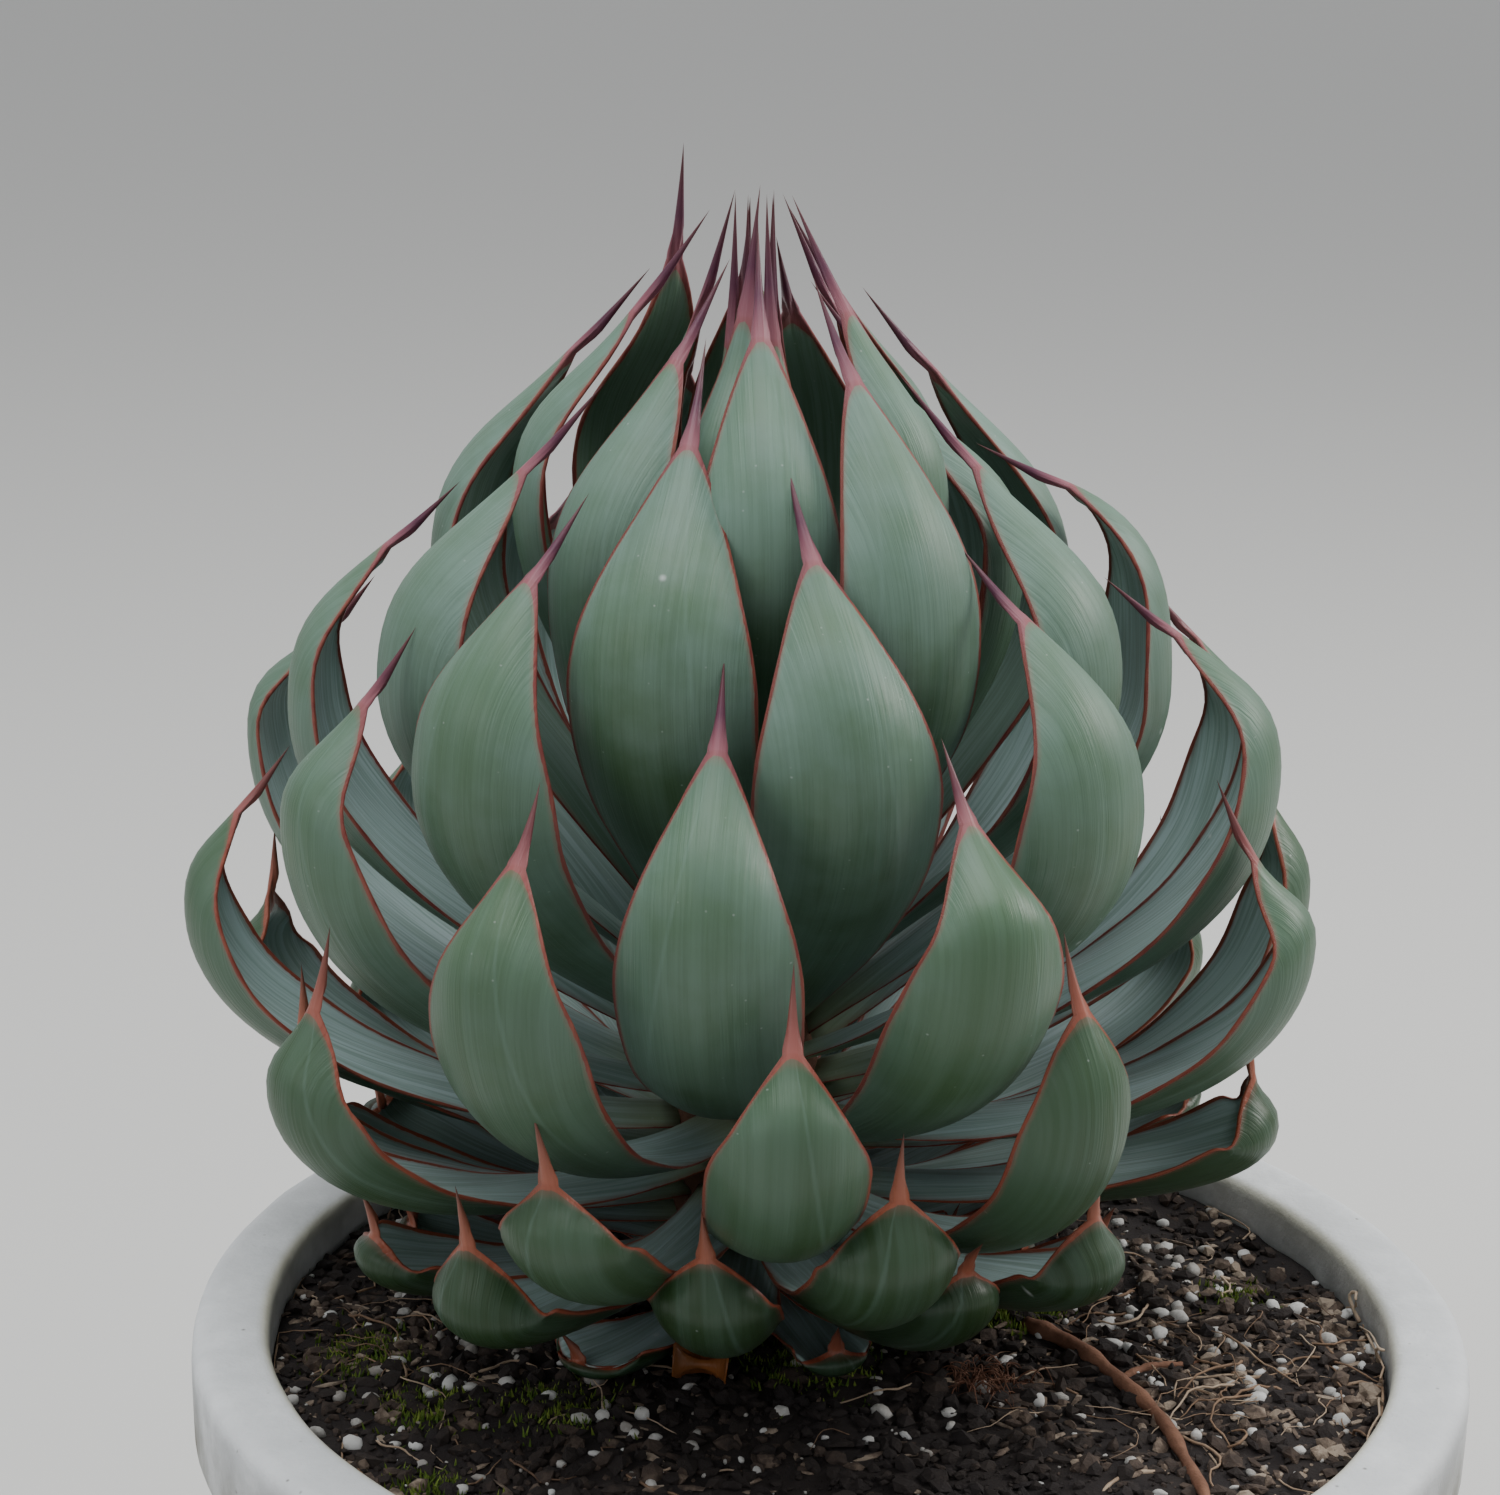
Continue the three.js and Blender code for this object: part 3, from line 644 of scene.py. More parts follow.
def leaf_points(n):
    """The rings of leaf n with the notes for the shader, all as arrays of rings by points."""
    u = np.linspace(0, 1, BLADE_RINGS) ** 0.94
    shape = shape_of(n)
    places, ways, length, heading, size = back_line(n, u, shape["span"])
    _, radius = insertion(n)
    young = np.clip((n - 4) / 20, 0, 1)
    bulk = np.clip(size["width"] / 42, 0.3, 1) * (1 - 0.35 * young)
    base_width = 2 * radius * math.sin(SECTION["base_spread"])
    width = blade_width(u, base_width, size["width"], shape)
    closing = smooth(u, shape["widest_at"], 1)
    full_cup = np.radians(shape["cup"] + (shape["tip_cup"] - shape["cup"]) * closing)
    opened = smooth(u, 0.05, shape["widest_at"])
    cup = SECTION["neck_cup"] + (full_cup - SECTION["neck_cup"]) * opened
    base, full = SECTION["base_thickness"], SECTION["thickness"]
    thick = (base + (full - base) * np.minimum(1, 3 * u)) * bulk * (1 - 0.5 * smooth(u, 0.7, 1))
    bead = SECTION["bead"] * (0.25 + 0.75 * smooth(u, 0.1, 0.5)) * np.clip(size["width"] / 34, 0.5, 1)
    bead = bead * (1 + 0.10 * np.sin(u * 61 + n) + 0.08 * np.sin(u * 97 + 2 * n))
    x, y, horn, across = sections(*(a[:, None] for a in (width, cup, thick, bead)))
    ripple = 0.45 * np.sin(u * 9 + 3 * wobble(n, 3))[:, None] * np.cos(across * 2.6 + wobble(n, 4))
    ripple += 0.22 * np.sin(u * 31 + 5 * wobble(n, 5))[:, None] * across**2
    y = y + ripple * (bulk * smooth(u, 0.1, 0.4) * (1 - smooth(u, 0.85, 1)))[:, None]
    settle = smooth(u, 0, 0.3)[:, None]
    facing = (1 - settle) * (1, 0) + settle * ways
    facing /= np.linalg.norm(facing, axis=1)[:, None]

    v = (np.linspace(0, 1, SPINE_RINGS + 1)[1:] ** 1.15)[:, None]
    thin = SECTION["tip_width"] / 2 * (0.8 * (1 - v) + 0.2 * (1 - v) ** 3) + 0.05
    front = 180 - FRONT * FRONT_TURN
    angle = np.radians(np.concatenate((BACK * BACK_TURN, BEAD_TURN, front, BEAD_TURN + 180)))
    x_round, y_round = thin * np.sin(angle), thin * (1 - np.cos(angle)) + 0.3 * v * thin
    blend = smooth(v, 0, 0.35)
    narrower = thin / thin[0]
    x_spine = (1 - blend) * x[-1] * narrower + blend * x_round
    y_spine = (1 - blend) * y[-1] * narrower + blend * y_round
    spine_places = size["tip"] + v * size["spine"] * heading
    x, y = np.vstack((x, x_spine)), np.vstack((y, y_spine))
    places = np.vstack((places, spine_places))
    facing = np.vstack((facing, np.repeat([heading], SPINE_RINGS, axis=0)))

    along = np.concatenate((u, 1 + v[:, 0]))[:, None]
    sway = np.where(along < 1, along**2, 1 + 0.3 * (along - 1)) * size["side"]
    sway = sway + 0.9 * wobble(n, 6) * np.clip(along - 1, 0, 1) ** 2
    inward = np.column_stack((-facing[:, 1], facing[:, 0]))
    line = places[:, None, :] + y[..., None] * inward[:, None, :]
    outward = np.array((math.sin(size["bearing"]), -math.cos(size["bearing"]), 0))
    aside = np.array((math.cos(size["bearing"]), math.sin(size["bearing"]), 0))
    points = line[..., :1] * outward + (x + sway)[..., None] * aside
    points += np.array((PLANT["x"], PLANT["y"], PLANT["soil"]))
    points += line[..., 1:] * np.array((PLANT["lean"], 0, 1))

    count = len(BACK) + len(ROUND_BEAD)
    face = np.where(np.arange(x.shape[1]) < count, 0.0, 1.0)
    run = np.concatenate((u * length, length + v[:, 0] * size["spine"]))[:, None]
    horn = np.vstack((horn, np.full(x_spine.shape, 3.0)))
    across = np.vstack((across, np.repeat(across[-1:], SPINE_RINGS, axis=0)))
    reach = 1.2 + 7 * np.abs(across) ** 3 + 1.5 * face
    horn = np.maximum(horn, (reach - (length - run)) * 0.5)
    notes = {
        "grain": (x + 400 * face, run + 0 * x, 37.0 * n + 0 * x),
        "place": (along + 0 * x, across, face + 0 * x),
        "horn": horn,
        "crease": print_of_a_neighbour(n, along, across, width.max()),
    }
    return points, notes


def print_of_a_neighbour(n, along, across, width):
    """Millimetres from the faint line that a neighbour's margin pressed into the back."""
    start, spread = 0.30 + 0.18 * wobble(n, 7), 0.95 + 0.25 * wobble(n, 8)
    side = 1 if wobble(n, 9) > 0 else -1
    line = side * (start + spread * (0.92 - along) * np.clip(1.4 - along, 0, 1))
    return (across - line) * width / 2


# %% [markdown]
# ## From rings to a mesh
#
# Neighbouring rings are joined by four-sided faces, the base is closed by one flat face and the
# spine by a fan to its point. Notes go into named attributes of the mesh, which the Attribute
# node of the material reads.

# %% Meshes
def write_notes(mesh, notes):
    """Attributes of the mesh's points: a tuple of three arrays is a vector, one array a number."""
    for key, values in notes.items():
        kind, field = ("FLOAT_VECTOR", "vector") if isinstance(values, tuple) else ("FLOAT", "value")
        parts = values if isinstance(values, tuple) else (values,)
        data = np.stack([np.ravel(v) for v in parts], axis=1).astype(np.float32)
        mesh.attributes.new(key, kind, "POINT").data.foreach_set(field, data.ravel())


def piece(name, points, faces, material, replaces=(), notes=None, flat=False):
    """A mesh object from points in millimetres, on the one body and notes."""
    mesh = bpy.data.meshes.new(name)
    points = np.reshape(points, (-1, 3))
    mesh.from_pydata((points * MM).tolist(), [], faces)
    mesh.materials.append(material)
    write_notes(mesh, notes or {})
    if flat:
        mesh.shade_flat()
    else:
        mesh.shade_smooth()
    made = bpy.data.objects.new(name, mesh)
    bpy.context.collection.objects.link(made)
    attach(made, "root")
    if replaces:
        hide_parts(*replaces)
    return made


def at_angle(radius, angle):
    return radius * np.cos(angle), radius * np.sin(angle)


def coordinates(x, y, z):
    return np.stack(np.broadcast_arrays(x, y, z), axis=-1)


def grain_notes(points, tone):
    """The notes of loose matter: where each point lies, and its share of the colours."""
    return {"grain": tuple(np.reshape(points, (-1, 3)).T), "tone": tone}


def ring_faces(rings, count, first=0, tip=None):
    """Faces between rings, a flat face at the first and a fan to the point numbered tip."""
    faces = []
    for r in range(rings - 1):
        for i in range(count):
            a, b = first + r * count + i, first + r * count + (i + 1) % count
            faces.append((a, b, b + count, a + count))
    faces.append(tuple(first + i for i in reversed(range(count))))
    last = first + (rings - 1) * count
    if tip is None:
        faces.append(tuple(last + i for i in range(count)))
    else:
        faces.extend((last + i, last + (i + 1) % count, tip) for i in range(count))
    return faces


def leaf_piece(name, numbers, replaces):
    """One piece made of one leaf or of several."""
    points, faces, notes = [], [], {"grain": [], "place": [], "horn": [], "crease": [], "kind": []}
    for n in numbers:
        rings, seen = leaf_points(n)
        first = sum(len(p) for p in points)
        count = rings.shape[1]
        before, last = rings[-2].mean(axis=0), rings[-1].mean(axis=0)
        points.append(np.vstack((rings.reshape(-1, 3), last + (last - before) * 0.3)))
        total = len(rings) * count
        faces += ring_faces(len(rings), count, first, first + total)
        age = (n - SPIRAL["oldest"]) / (BUD["last"] - SPIRAL["oldest"])
        kind = (age, 0.5 + 0.5 * wobble(n, 10), float(n == DRY_LEAF))
        seen["kind"] = tuple(np.full(total, value) for value in kind)
        for key, values in seen.items():
            parts = values if isinstance(values, tuple) else (values,)
            flat = np.stack([np.append(np.ravel(v), np.ravel(v)[-1]) for v in parts])
            notes[key].append(flat)
    joined = {key: np.hstack(values) for key, values in notes.items()}
    ready = {key: tuple(v) if len(v) > 1 else v[0] for key, v in joined.items()}
    return piece(name, np.vstack(points), faces, LEAF_SKIN, replaces, ready)


# %% All the leaves
first_leaf = SPIRAL["last_old"] + 1
for n in range(first_leaf, SPIRAL["youngest"] + 1):
    label = f"leaf_{n - SPIRAL['last_old']:02d}"
    leaf_piece(label + "_skin", [n], [label])
leaf_piece("old_leaves", range(SPIRAL["oldest"], first_leaf), ["stem_with_old_leaves"])
leaf_piece("bud_leaves", range(SPIRAL["youngest"] + 1, BUD["last"] + 1), ["leaf_bud"])
print("leaves:", BUD["last"] - SPIRAL["oldest"] + 1)

# %% [markdown]
# ## Stone, soil, root and moss
#
# The bowl is cast stone: nearly white, with soft grey drift and pin holes. Its flat top is painted
# lighter for the light that falls on it from above. It has dirt where water runs off under its rim,
# and the same dark colour paints the shade under the rim, low on the flank and on the inner wall.
# The soil is a dark body under thousands of loose grains. One attribute, tone, gives each grain its
# own share of the colours between dark humus and pale bark.

# %% Stone
STONE_LIGHT, STONE_GREY = (0.80, 0.81, 0.82), (0.48, 0.49, 0.50)
STONE_DIRT_AND_SHADE, STONE_ALGAE = (0.17, 0.155, 0.10), (0.62, 0.58, 0.40)
STONE_PALE, STONE_PIN = (0.80, 0.81, 0.80), (0.13, 0.12, 0.10)


def stone_material():
    material, tree, shader = new_material("cast stone", Specular_IOR_Level=0.32)
    grain = attribute(tree, "grain").outputs["Vector"]
    top, shaded_and_dirty, lip = parts_of(tree, "place")
    drift = effect(tree, MOTTLE, grain, scale=0.018)
    fine = effect(tree, MOTTLE, grain, scale=0.10)
    pin = effect(tree, SPECKS, grain, scale=0.24, size=0.24, share=0.16)
    pale = effect(tree, SPECKS, grain, scale=0.13, size=0.26, share=0.15)
    # Dirt together with painted shade: the stone is darker under the rim, low on the flank and inside
    # the bowl.
    dirt_and_shade = times(tree, shaded_and_dirty, maths(tree, "MULTIPLY_ADD", drift, 0.7, 0.25), clamp=True)
    colour = layered(
        tree,
        STONE_LIGHT,
        (drift, 1, STONE_GREY),
        (fine, 0.42, STONE_GREY),
        (pale, 0.35, STONE_PALE),
        # Painted light: the flat top of the rim is lightened as if lit from above.
        (top, 0.45, STONE_LIGHT),
        (lip, 0.65, STONE_ALGAE),
        (dirt_and_shade, 1, STONE_DIRT_AND_SHADE),
        (pin, 0.75, STONE_PIN),
    )
    tree.links.new(colour, shader.inputs["Base Color"])
    rough = maths(tree, "MULTIPLY_ADD", drift, 0.12, 0.68)
    tree.links.new(rough, shader.inputs["Roughness"])
    relief = maths(tree, "SUBTRACT", times(tree, fine, 0.5), pin)
    sand = noise(tree, grain, 0.9, 4.0, 0.7)
    relief = plus(tree, relief, times(tree, sand, 0.35))
    tree.links.new(bumped(tree, relief, 0.5 * MM, 0.7), shader.inputs["Normal"])
    return material


# %% Grains, root and moss
HUMUS = [
    (0.0, (0.022, 0.017, 0.017)),
    (0.45, (0.032, 0.024, 0.021)),
    (0.72, (0.080, 0.056, 0.044)),
    (0.88, (0.190, 0.140, 0.105)),
    (1.0, (0.380, 0.300, 0.230)),
]
MINERAL = [(0.0, (0.36, 0.33, 0.30)), (0.5, (0.62, 0.60, 0.57)), (1.0, (0.78, 0.77, 0.75))]
BARK = [(0.0, (0.060, 0.028, 0.018)), (0.5, (0.185, 0.085, 0.052)), (1.0, (0.340, 0.170, 0.105))]
FIBRE = [(0.0, (0.100, 0.058, 0.038)), (0.5, (0.300, 0.190, 0.120)), (1.0, (0.520, 0.400, 0.290))]
MOSS = [(0.0, (0.024, 0.055, 0.006)), (0.5, (0.085, 0.150, 0.016)), (1.0, (0.240, 0.310, 0.050))]


def loose_material(name, colours, scale, roughness, relief):
    """A rough finish whose colour runs along a ramp with the tone of each grain."""
    material, tree, shader = new_material(name, Roughness=roughness, Specular_IOR_Level=0.3)
    grain = attribute(tree, "grain").outputs["Vector"]
    tone = attribute(tree, "tone").outputs["Fac"]
    fine = effect(tree, MOTTLE, grain, scale=scale)
    share = plus(tree, tone, maths(tree, "MULTIPLY_ADD", fine, 0.3, -0.15), clamp=True)
    tree.links.new(ramp(tree, share, colours), shader.inputs["Base Color"])
    rugged = noise(tree, grain, scale * 9, 4.0, 0.7)
    tree.links.new(bumped(tree, rugged, relief * MM, 0.8), shader.inputs["Normal"])
    return material


STONE = stone_material()
HUMUS_SKIN = loose_material("humus", HUMUS, 0.12, 0.82, 0.8)
PERLITE_SKIN = loose_material("perlite", MINERAL, 0.35, 0.85, 0.5)
BARK_SKIN = loose_material("bark", BARK, 0.14, 0.72, 0.6)
FIBRE_SKIN = loose_material("dry roots", FIBRE, 0.2, 0.75, 0.3)
MOSS_SKIN = loose_material("moss", MOSS, 0.2, 0.8, 0.2)
CORE_SKIN, _, _ = new_material("young core", Base_Color=(0.20, 0.20, 0.10, 1), Roughness=0.45)
PAVING, _, _ = new_material("paving", Base_Color=(0.64, 0.63, 0.61, 1), Roughness=0.85)
floor.data.materials.append(PAVING)

# %% [markdown]
# ## Turned bodies and tubes
#
# The bowl, the soil and the stem are rings about an upright axis, and a root is rings along a
# wandering line. The same function that joins the rings of a leaf joins these.

# %% Lines and rings
def through(corners, steps):
    """A smooth line through the corners, with that many steps from one to the next."""
    p = np.asarray(corners, float)
    p = np.vstack((2 * p[0] - p[1], p, 2 * p[-1] - p[-2]))
    t = np.arange(steps)[:, None] / steps
    line = []
    for a, b, c, d in zip(p, p[1:], p[2:], p[3:]):
        bend = a - 2.5 * b + 2 * c - 0.5 * d
        line.append(b + 0.5 * t * (c - a) + t**2 * bend + t**3 * (1.5 * (b - c) + 0.5 * (d - a)))
    return np.vstack((*line, p[-2:-1]))


def rounded(corners, sizes, steps=7):
    """The line through the corners; each inner corner is cut off by a curve of its size."""
    p = np.asarray(corners, float)
    line = [p[:1]]
    t = np.linspace(0, 1, steps)[:, None]
    for before, here, after, size in zip(p, p[1:], p[2:], sizes):
        start = here + size * (before - here) / np.linalg.norm(before - here)
        end = here + size * (after - here) / np.linalg.norm(after - here)
        line.append((1 - t) ** 2 * start + 2 * t * (1 - t) * here + t**2 * end)
    return np.vstack((*line, p[-1:]))


def split(line, longest):
    """The same line with extra points, so that no step is longer than that."""
    parts = [line[:1]]
    for a, b in zip(line, line[1:]):
        count = max(1, math.ceil(np.linalg.norm(b - a) / longest))
        parts.append(a + (b - a) * (np.arange(1, count + 1)[:, None] / count))
    return np.vstack(parts)


def tube(line, radii, sides=8):
    """Rings about a line that lies rather flat."""
    along = np.gradient(line, axis=0)
    along /= np.linalg.norm(along, axis=1)[:, None]
    aside = np.cross(along, (0, 0, 1))
    aside /= np.linalg.norm(aside, axis=1)[:, None] + 1e-9
    up = np.cross(aside, along)
    angle = np.linspace(0, 2 * np.pi, sides, endpoint=False)[None, :, None]
    way = np.cos(angle) * aside[:, None] - np.sin(angle) * up[:, None]
    return line[:, None] + np.asarray(radii)[:, None, None] * way


def tubes(name, lines, widths, tones, material, replaces=(), sides=6, taper=0.6):
    """One piece of many tubes; widths are their radii at the start, in millimetres."""
    points, faces, tone = [], [], []
    first = 0
    for line, width, shade in zip(lines, widths, tones):
        share = np.linspace(0, 1, len(line))
        knots = 1 + 0.14 * np.sin(share * 37 + 9 * shade) + 0.08 * np.sin(share * 71 + 5 * shade)
        rings = tube(line, width * (1 - taper * share) * knots, sides)
        faces += ring_faces(len(line), sides, first)
        points.append(rings.reshape(-1, 3))
        tone.append(np.full(len(line) * sides, shade))
        first += len(line) * sides
    points = np.vstack(points)
    notes = {"grain": tuple(0.5 * points.T), "tone": np.concatenate(tone)}
    return piece(name, points, faces, material, replaces, notes)


def value_noise(x, y, size, seed):
    """Smooth random heights from -1 to 1 with lumps of about that size."""
    grid = np.random.default_rng(seed).uniform(-1, 1, (64, 64))
    u, v = np.asarray(x) / size + 900.5, np.asarray(y) / size + 900.5
    i, j = np.floor(u).astype(int), np.floor(v).astype(int)
    s, t = smooth(u - i, 0, 1), smooth(v - j, 0, 1)
    corner = [grid[(i + a) % 64, (j + b) % 64] for a in (0, 1) for b in (0, 1)]
    near, far = (corner[i] * (1 - t) + corner[i + 1] * t for i in (0, 2))
    return near * (1 - s) + far * s


# %% [markdown]
# ## The bowl
#
# A thick rim band stands out from a flared wall. Cast stone is never quite true, so the lathe's
# radius drifts by a few tenths of a millimetre, and the edges are soft. Three drain holes are
# cut through the floor.

# %% Bowl
EDGE_LINE = [(164.4, 154.5), (165, 158.5), (174.6, 160.5), (175, 190), (150, 190)]
MOUTH_LINE = [(165, 190), (154, 190), (154, 160), (149.5, 143)]
FLANK = [(112, 3), (131.08, 32.3), (150.16, 79.8), (165, 158)]
HOLLOW = [(97, 16), (131.74, 76), (154, 160)]
DRAINS = {"count": 3, "radius": 8, "offset": 62}
BOWL_SIDES = 200


def bowl():
    outside = np.vstack((
        rounded([(104, 0), (112, 0), (116, 8)], [4])[:-1],
        through(FLANK, 10)[4:-2],
        rounded(EDGE_LINE, [2.5, 3, 5.5])[:-1],
    ))
    inside = np.vstack((
        rounded(MOUTH_LINE, [4, 9])[:-1],
        through(HOLLOW[::-1], 10)[3:-2],
        [(101, 18.5), (97, 16), (92, 16)],
    ))
    line = split(np.vstack((outside, inside)), 6)
    angle = np.linspace(0, 2 * np.pi, BOWL_SIDES, endpoint=False)
    drift = 0.35 * np.sin(3 * angle + 1) + 0.25 * np.sin(7 * angle + 2) + 0.12 * np.sin(19 * angle)
    r = line[:, :1] + drift * smooth(line[:, :1], 100, 120)
    z = line[:, 1:] + 0.25 * np.sin(4 * angle + 0.6) * smooth(line[:, 1:], 150, 185)
    x, y = at_angle(r, angle)
    dents = value_noise(x * 1.3, y * 1.3 + z, 7, 3) * 0.12 * smooth(line[:, 1:], 5, 20)
    x, y = x + dents * np.cos(angle), y + dents * np.sin(angle)
    points = coordinates(x, y, z + dents)
    faces = ring_faces(len(line), BOWL_SIDES)
    return piece("bowl", points, faces, STONE, ["pot"])


def bowl_notes(mesh):
    """Where the flat top, painted lighter as if lit, the side darkened by dirt and painted shade,
    and the yellowish line of the mouth are.
    """
    x, y, z = np.array([v.co for v in mesh.vertices]).T / MM
    r = np.hypot(x, y)
    # Painted light: the flat top that is made lighter as if lit from above.
    top = smooth(z, 183, 189)
    # Dirt and painted shade: under the rim band, low on the flank and on the inner wall.
    shaded_and_dirty = (1 - smooth(z, 160, 188)) * smooth(z, 120, 158) + 0.3 * (1 - smooth(z, 0, 60))
    shaded_and_dirty = np.where((r < 155) & (z > 15), 0.25, shaded_and_dirty)
    lip = np.exp(-(((r - 154.5) / 1.6) ** 2)) * smooth(z, 184, 190)
    return {"grain": (x, y, z), "place": (top, shaded_and_dirty, lip)}


def drill(body):
    """Cuts the drain holes, marks the sharp edges and then writes the bowl's notes."""
    for i in range(DRAINS["count"]):
        angle = i * math.tau / DRAINS["count"]
        offset = DRAINS["offset"] * MM
        place = (offset * math.sin(angle), offset * math.cos(angle), 8 * MM)
        bpy.ops.mesh.primitive_cylinder_add(
            vertices=32, radius=DRAINS["radius"] * MM, depth=30 * MM, location=place
        )
        bit = bpy.context.object
        cut = body.modifiers.new("drain", "BOOLEAN")
        cut.object, cut.operation, cut.solver = bit, "DIFFERENCE", "EXACT"
        bpy.context.view_layer.objects.active = body
        bpy.ops.object.modifier_apply(modifier=cut.name)
        bpy.data.objects.remove(bit)
    body.data.set_sharp_from_angle(angle=math.radians(40))
    write_notes(body.data, bowl_notes(body.data))


drill(bowl())

# %% [markdown]
# ## The soil
#
# The body of the soil follows the bowl's hollow. Its top is low lumps, and it has a hole where
# the stem stands. Rings run from the floor of that hole over the top and down the wall.

# %% Soil body and stem
def relief(x, y):
    """Height of the soil over its mean level, the same lumps as the solid has."""
    broad = 0.6 * np.sin(x / 19 + 1.1) * np.cos(y / 23)
    return 2.2 * (broad + 0.4 * np.sin((x + y) / 11 + 0.7) - 0.5)


def ground_height(x, y):
    lumps = 0.7 * value_noise(x, y, 6, 5)
    return PLANT["soil"] + relief(x, y) + lumps + 0.35 * value_noise(x, y, 2.6, 6)


SOIL_SIDES, SOIL_RINGS = 180, 58
STEM_HOLE, SOIL_REACH = 22.5, 153.6  # radii of the hole for the stem and of the soil's top
STEM_TONE = 0.4


def soil_body():
    angle = -np.linspace(0, 2 * np.pi, SOIL_SIDES, endpoint=False)
    middle = np.array((PLANT["x"], PLANT["y"]))
    rings = []
    for height in (-60.4, -30.0, -6.0):
        x = middle[0] + PLANT["lean"] * height + STEM_HOLE * np.cos(angle)
        y = middle[1] + STEM_HOLE * np.sin(angle)
        rings.append(coordinates(x, y, PLANT["soil"] + height))
    for share in np.linspace(0, 1, SOIL_RINGS):
        radius = STEM_HOLE + (SOIL_REACH - STEM_HOLE) * share
        x = middle[0] * (1 - share) + radius * np.cos(angle)
        y = middle[1] * (1 - share) + radius * np.sin(angle)
        rings.append(coordinates(x, y, ground_height(x, y)))
    wall = through(HOLLOW[::-1], 8)[1:-1] - (0.4, 0)
    for r, z in [(SOIL_REACH, 168), (SOIL_REACH, 160), *wall, (96.6, 16.4)]:
        rings.append(coordinates(*at_angle(r, angle), z))
    points = np.array(rings)
    tone = 0.12 + 0.14 * value_noise(points[..., 0], points[..., 1], 9, 8)
    notes = grain_notes(points, np.clip(tone, 0, 1))
    faces = ring_faces(len(rings), SOIL_SIDES)
    return piece("soil_body", points, faces, HUMUS_SKIN, ["soil"], notes)


def leaned_body(name, profile, sides, material, replaces):
    """A turned body about the stem's leaning axis, from (radius, height over the soil) pairs."""
    angle = np.linspace(0, 2 * np.pi, sides, endpoint=False)
    r, z = (np.asarray(profile, float)[:, i : i + 1] for i in (0, 1))
    r = r * (1 + 0.02 * np.sin(3 * angle + z / 5))
    x = PLANT["x"] + PLANT["lean"] * z + r * np.cos(angle)
    points = coordinates(x, PLANT["y"] + r * np.sin(angle), PLANT["soil"] + z)
    notes = grain_notes(points, np.full(x.shape, STEM_TONE))
    return piece(name, points, ring_faces(len(r), sides), material, replaces, notes)


soil_body()
stem_line = split(rounded([(16, -60), (22, -60), (22, 56), (10.5, 106), (6, 106)], [2, 12, 2]), 5)
leaned_body("stem", stem_line, 40, BARK_SKIN, ["stem_with_old_leaves"])
core_line = through([(9.5, 106.4), (10.5, 150), (10.8, 205), (8, 250), (3.5, 284), (0.3, 290)], 8)
leaned_body("bud_core", core_line, 24, CORE_SKIN, ["leaf_bud"])

# %% [markdown]
# ## Grains, roots and moss on the soil
#
# Each kind of grain is a small ball that is dented, stretched and turned in its own way. All
# random draws come from one seeded source, so the soil is the same every time.

# %% Scattering
rng = np.random.default_rng(11)
GRAIN_LIMIT, ROOT_LIMIT = 153.7, 152.5  # how far out grains and roots may lie


def ball(subdivisions):
    made = bmesh.new()
    bmesh.ops.create_icosphere(made, subdivisions=subdivisions, radius=1)
    points = np.array([v.co[:] for v in made.verts])
    faces = np.array([[v.index for v in face.verts] for face in made.faces])
    made.free()
    return points, faces


def in_the_open(x, y, stem, wall):
    """Whether places are farther from the stem's axis and nearer to the bowl's than that."""
    return (np.hypot(x - PLANT["x"], y - PLANT["y"]) > stem) & (np.hypot(x, y) < wall)


def pulled_in(x, y, limit):
    """The same places, moved towards the bowl's axis where they lie beyond the limit."""
    share = np.minimum(1, limit / np.maximum(np.hypot(x, y), 1))
    return x * share, y * share


def spots(count, centre=(0, 0), spread=None):
    """Places on the soil: all over it, or in a patch about a centre."""
    if spread is None:
        radius = ROOT_LIMIT * np.sqrt(rng.uniform(0, 1, 2 * count))
        angle = rng.uniform(0, 2 * np.pi, 2 * count)
        x, y = at_angle(radius, angle)
    else:
        x, y = (c + spread * rng.normal(size=2 * count) for c in centre)
    return np.column_stack((x, y))[in_the_open(x, y, 26, 152)][:count]


def rotated(x, y, angle):
    return x * np.cos(angle) - y * np.sin(angle), x * np.sin(angle) + y * np.cos(angle)


def grains(name, places, sizes, material, detail=1, dent=0.34, tones=None, upright=1.0):
    """Small lumps as one piece: sizes are three half-axes each, in millimetres."""
    base, faces = ball(detail)
    count = len(places)
    lumps = base[None] * (1 + dent * rng.uniform(-1, 1, (count, len(base), 1)))
    lumps = lumps * sizes[:, None, :]
    roll, yaw = rng.normal(size=count) * 0.5 * upright, rng.uniform(0, 2 * np.pi, count)
    x, y, z = lumps[..., 0], lumps[..., 1], lumps[..., 2]
    y, z = rotated(y, z, roll[:, None])
    x, y = rotated(x, y, yaw[:, None])
    level = ground_height(places[:, 0], places[:, 1]) + 0.35 * sizes[:, 2]
    x, y = pulled_in(x + places[:, :1], y + places[:, 1:], GRAIN_LIMIT)
    points = coordinates(x, y, z + level[:, None])
    tones = rng.uniform(0, 1, count) if tones is None else tones
    indices = (faces[None] + len(base) * np.arange(count)[:, None, None]).reshape(-1, 3)
    notes = grain_notes(points, np.repeat(tones, len(base)))
    return piece(name, points, indices.tolist(), material, (), notes, flat=detail == 1)


def lumpy(count, low, high, flatness=0.8):
    """Half-axes between low and high, many small ones and few large ones."""
    size = low + (high - low) * rng.uniform(0, 1, count) ** 2.6
    length, width = rng.uniform(0.85, 1.5, count), rng.uniform(0.7, 1.1, count)
    return size[:, None] * np.column_stack((length, width, flatness * rng.uniform(0.6, 1.0, count)))


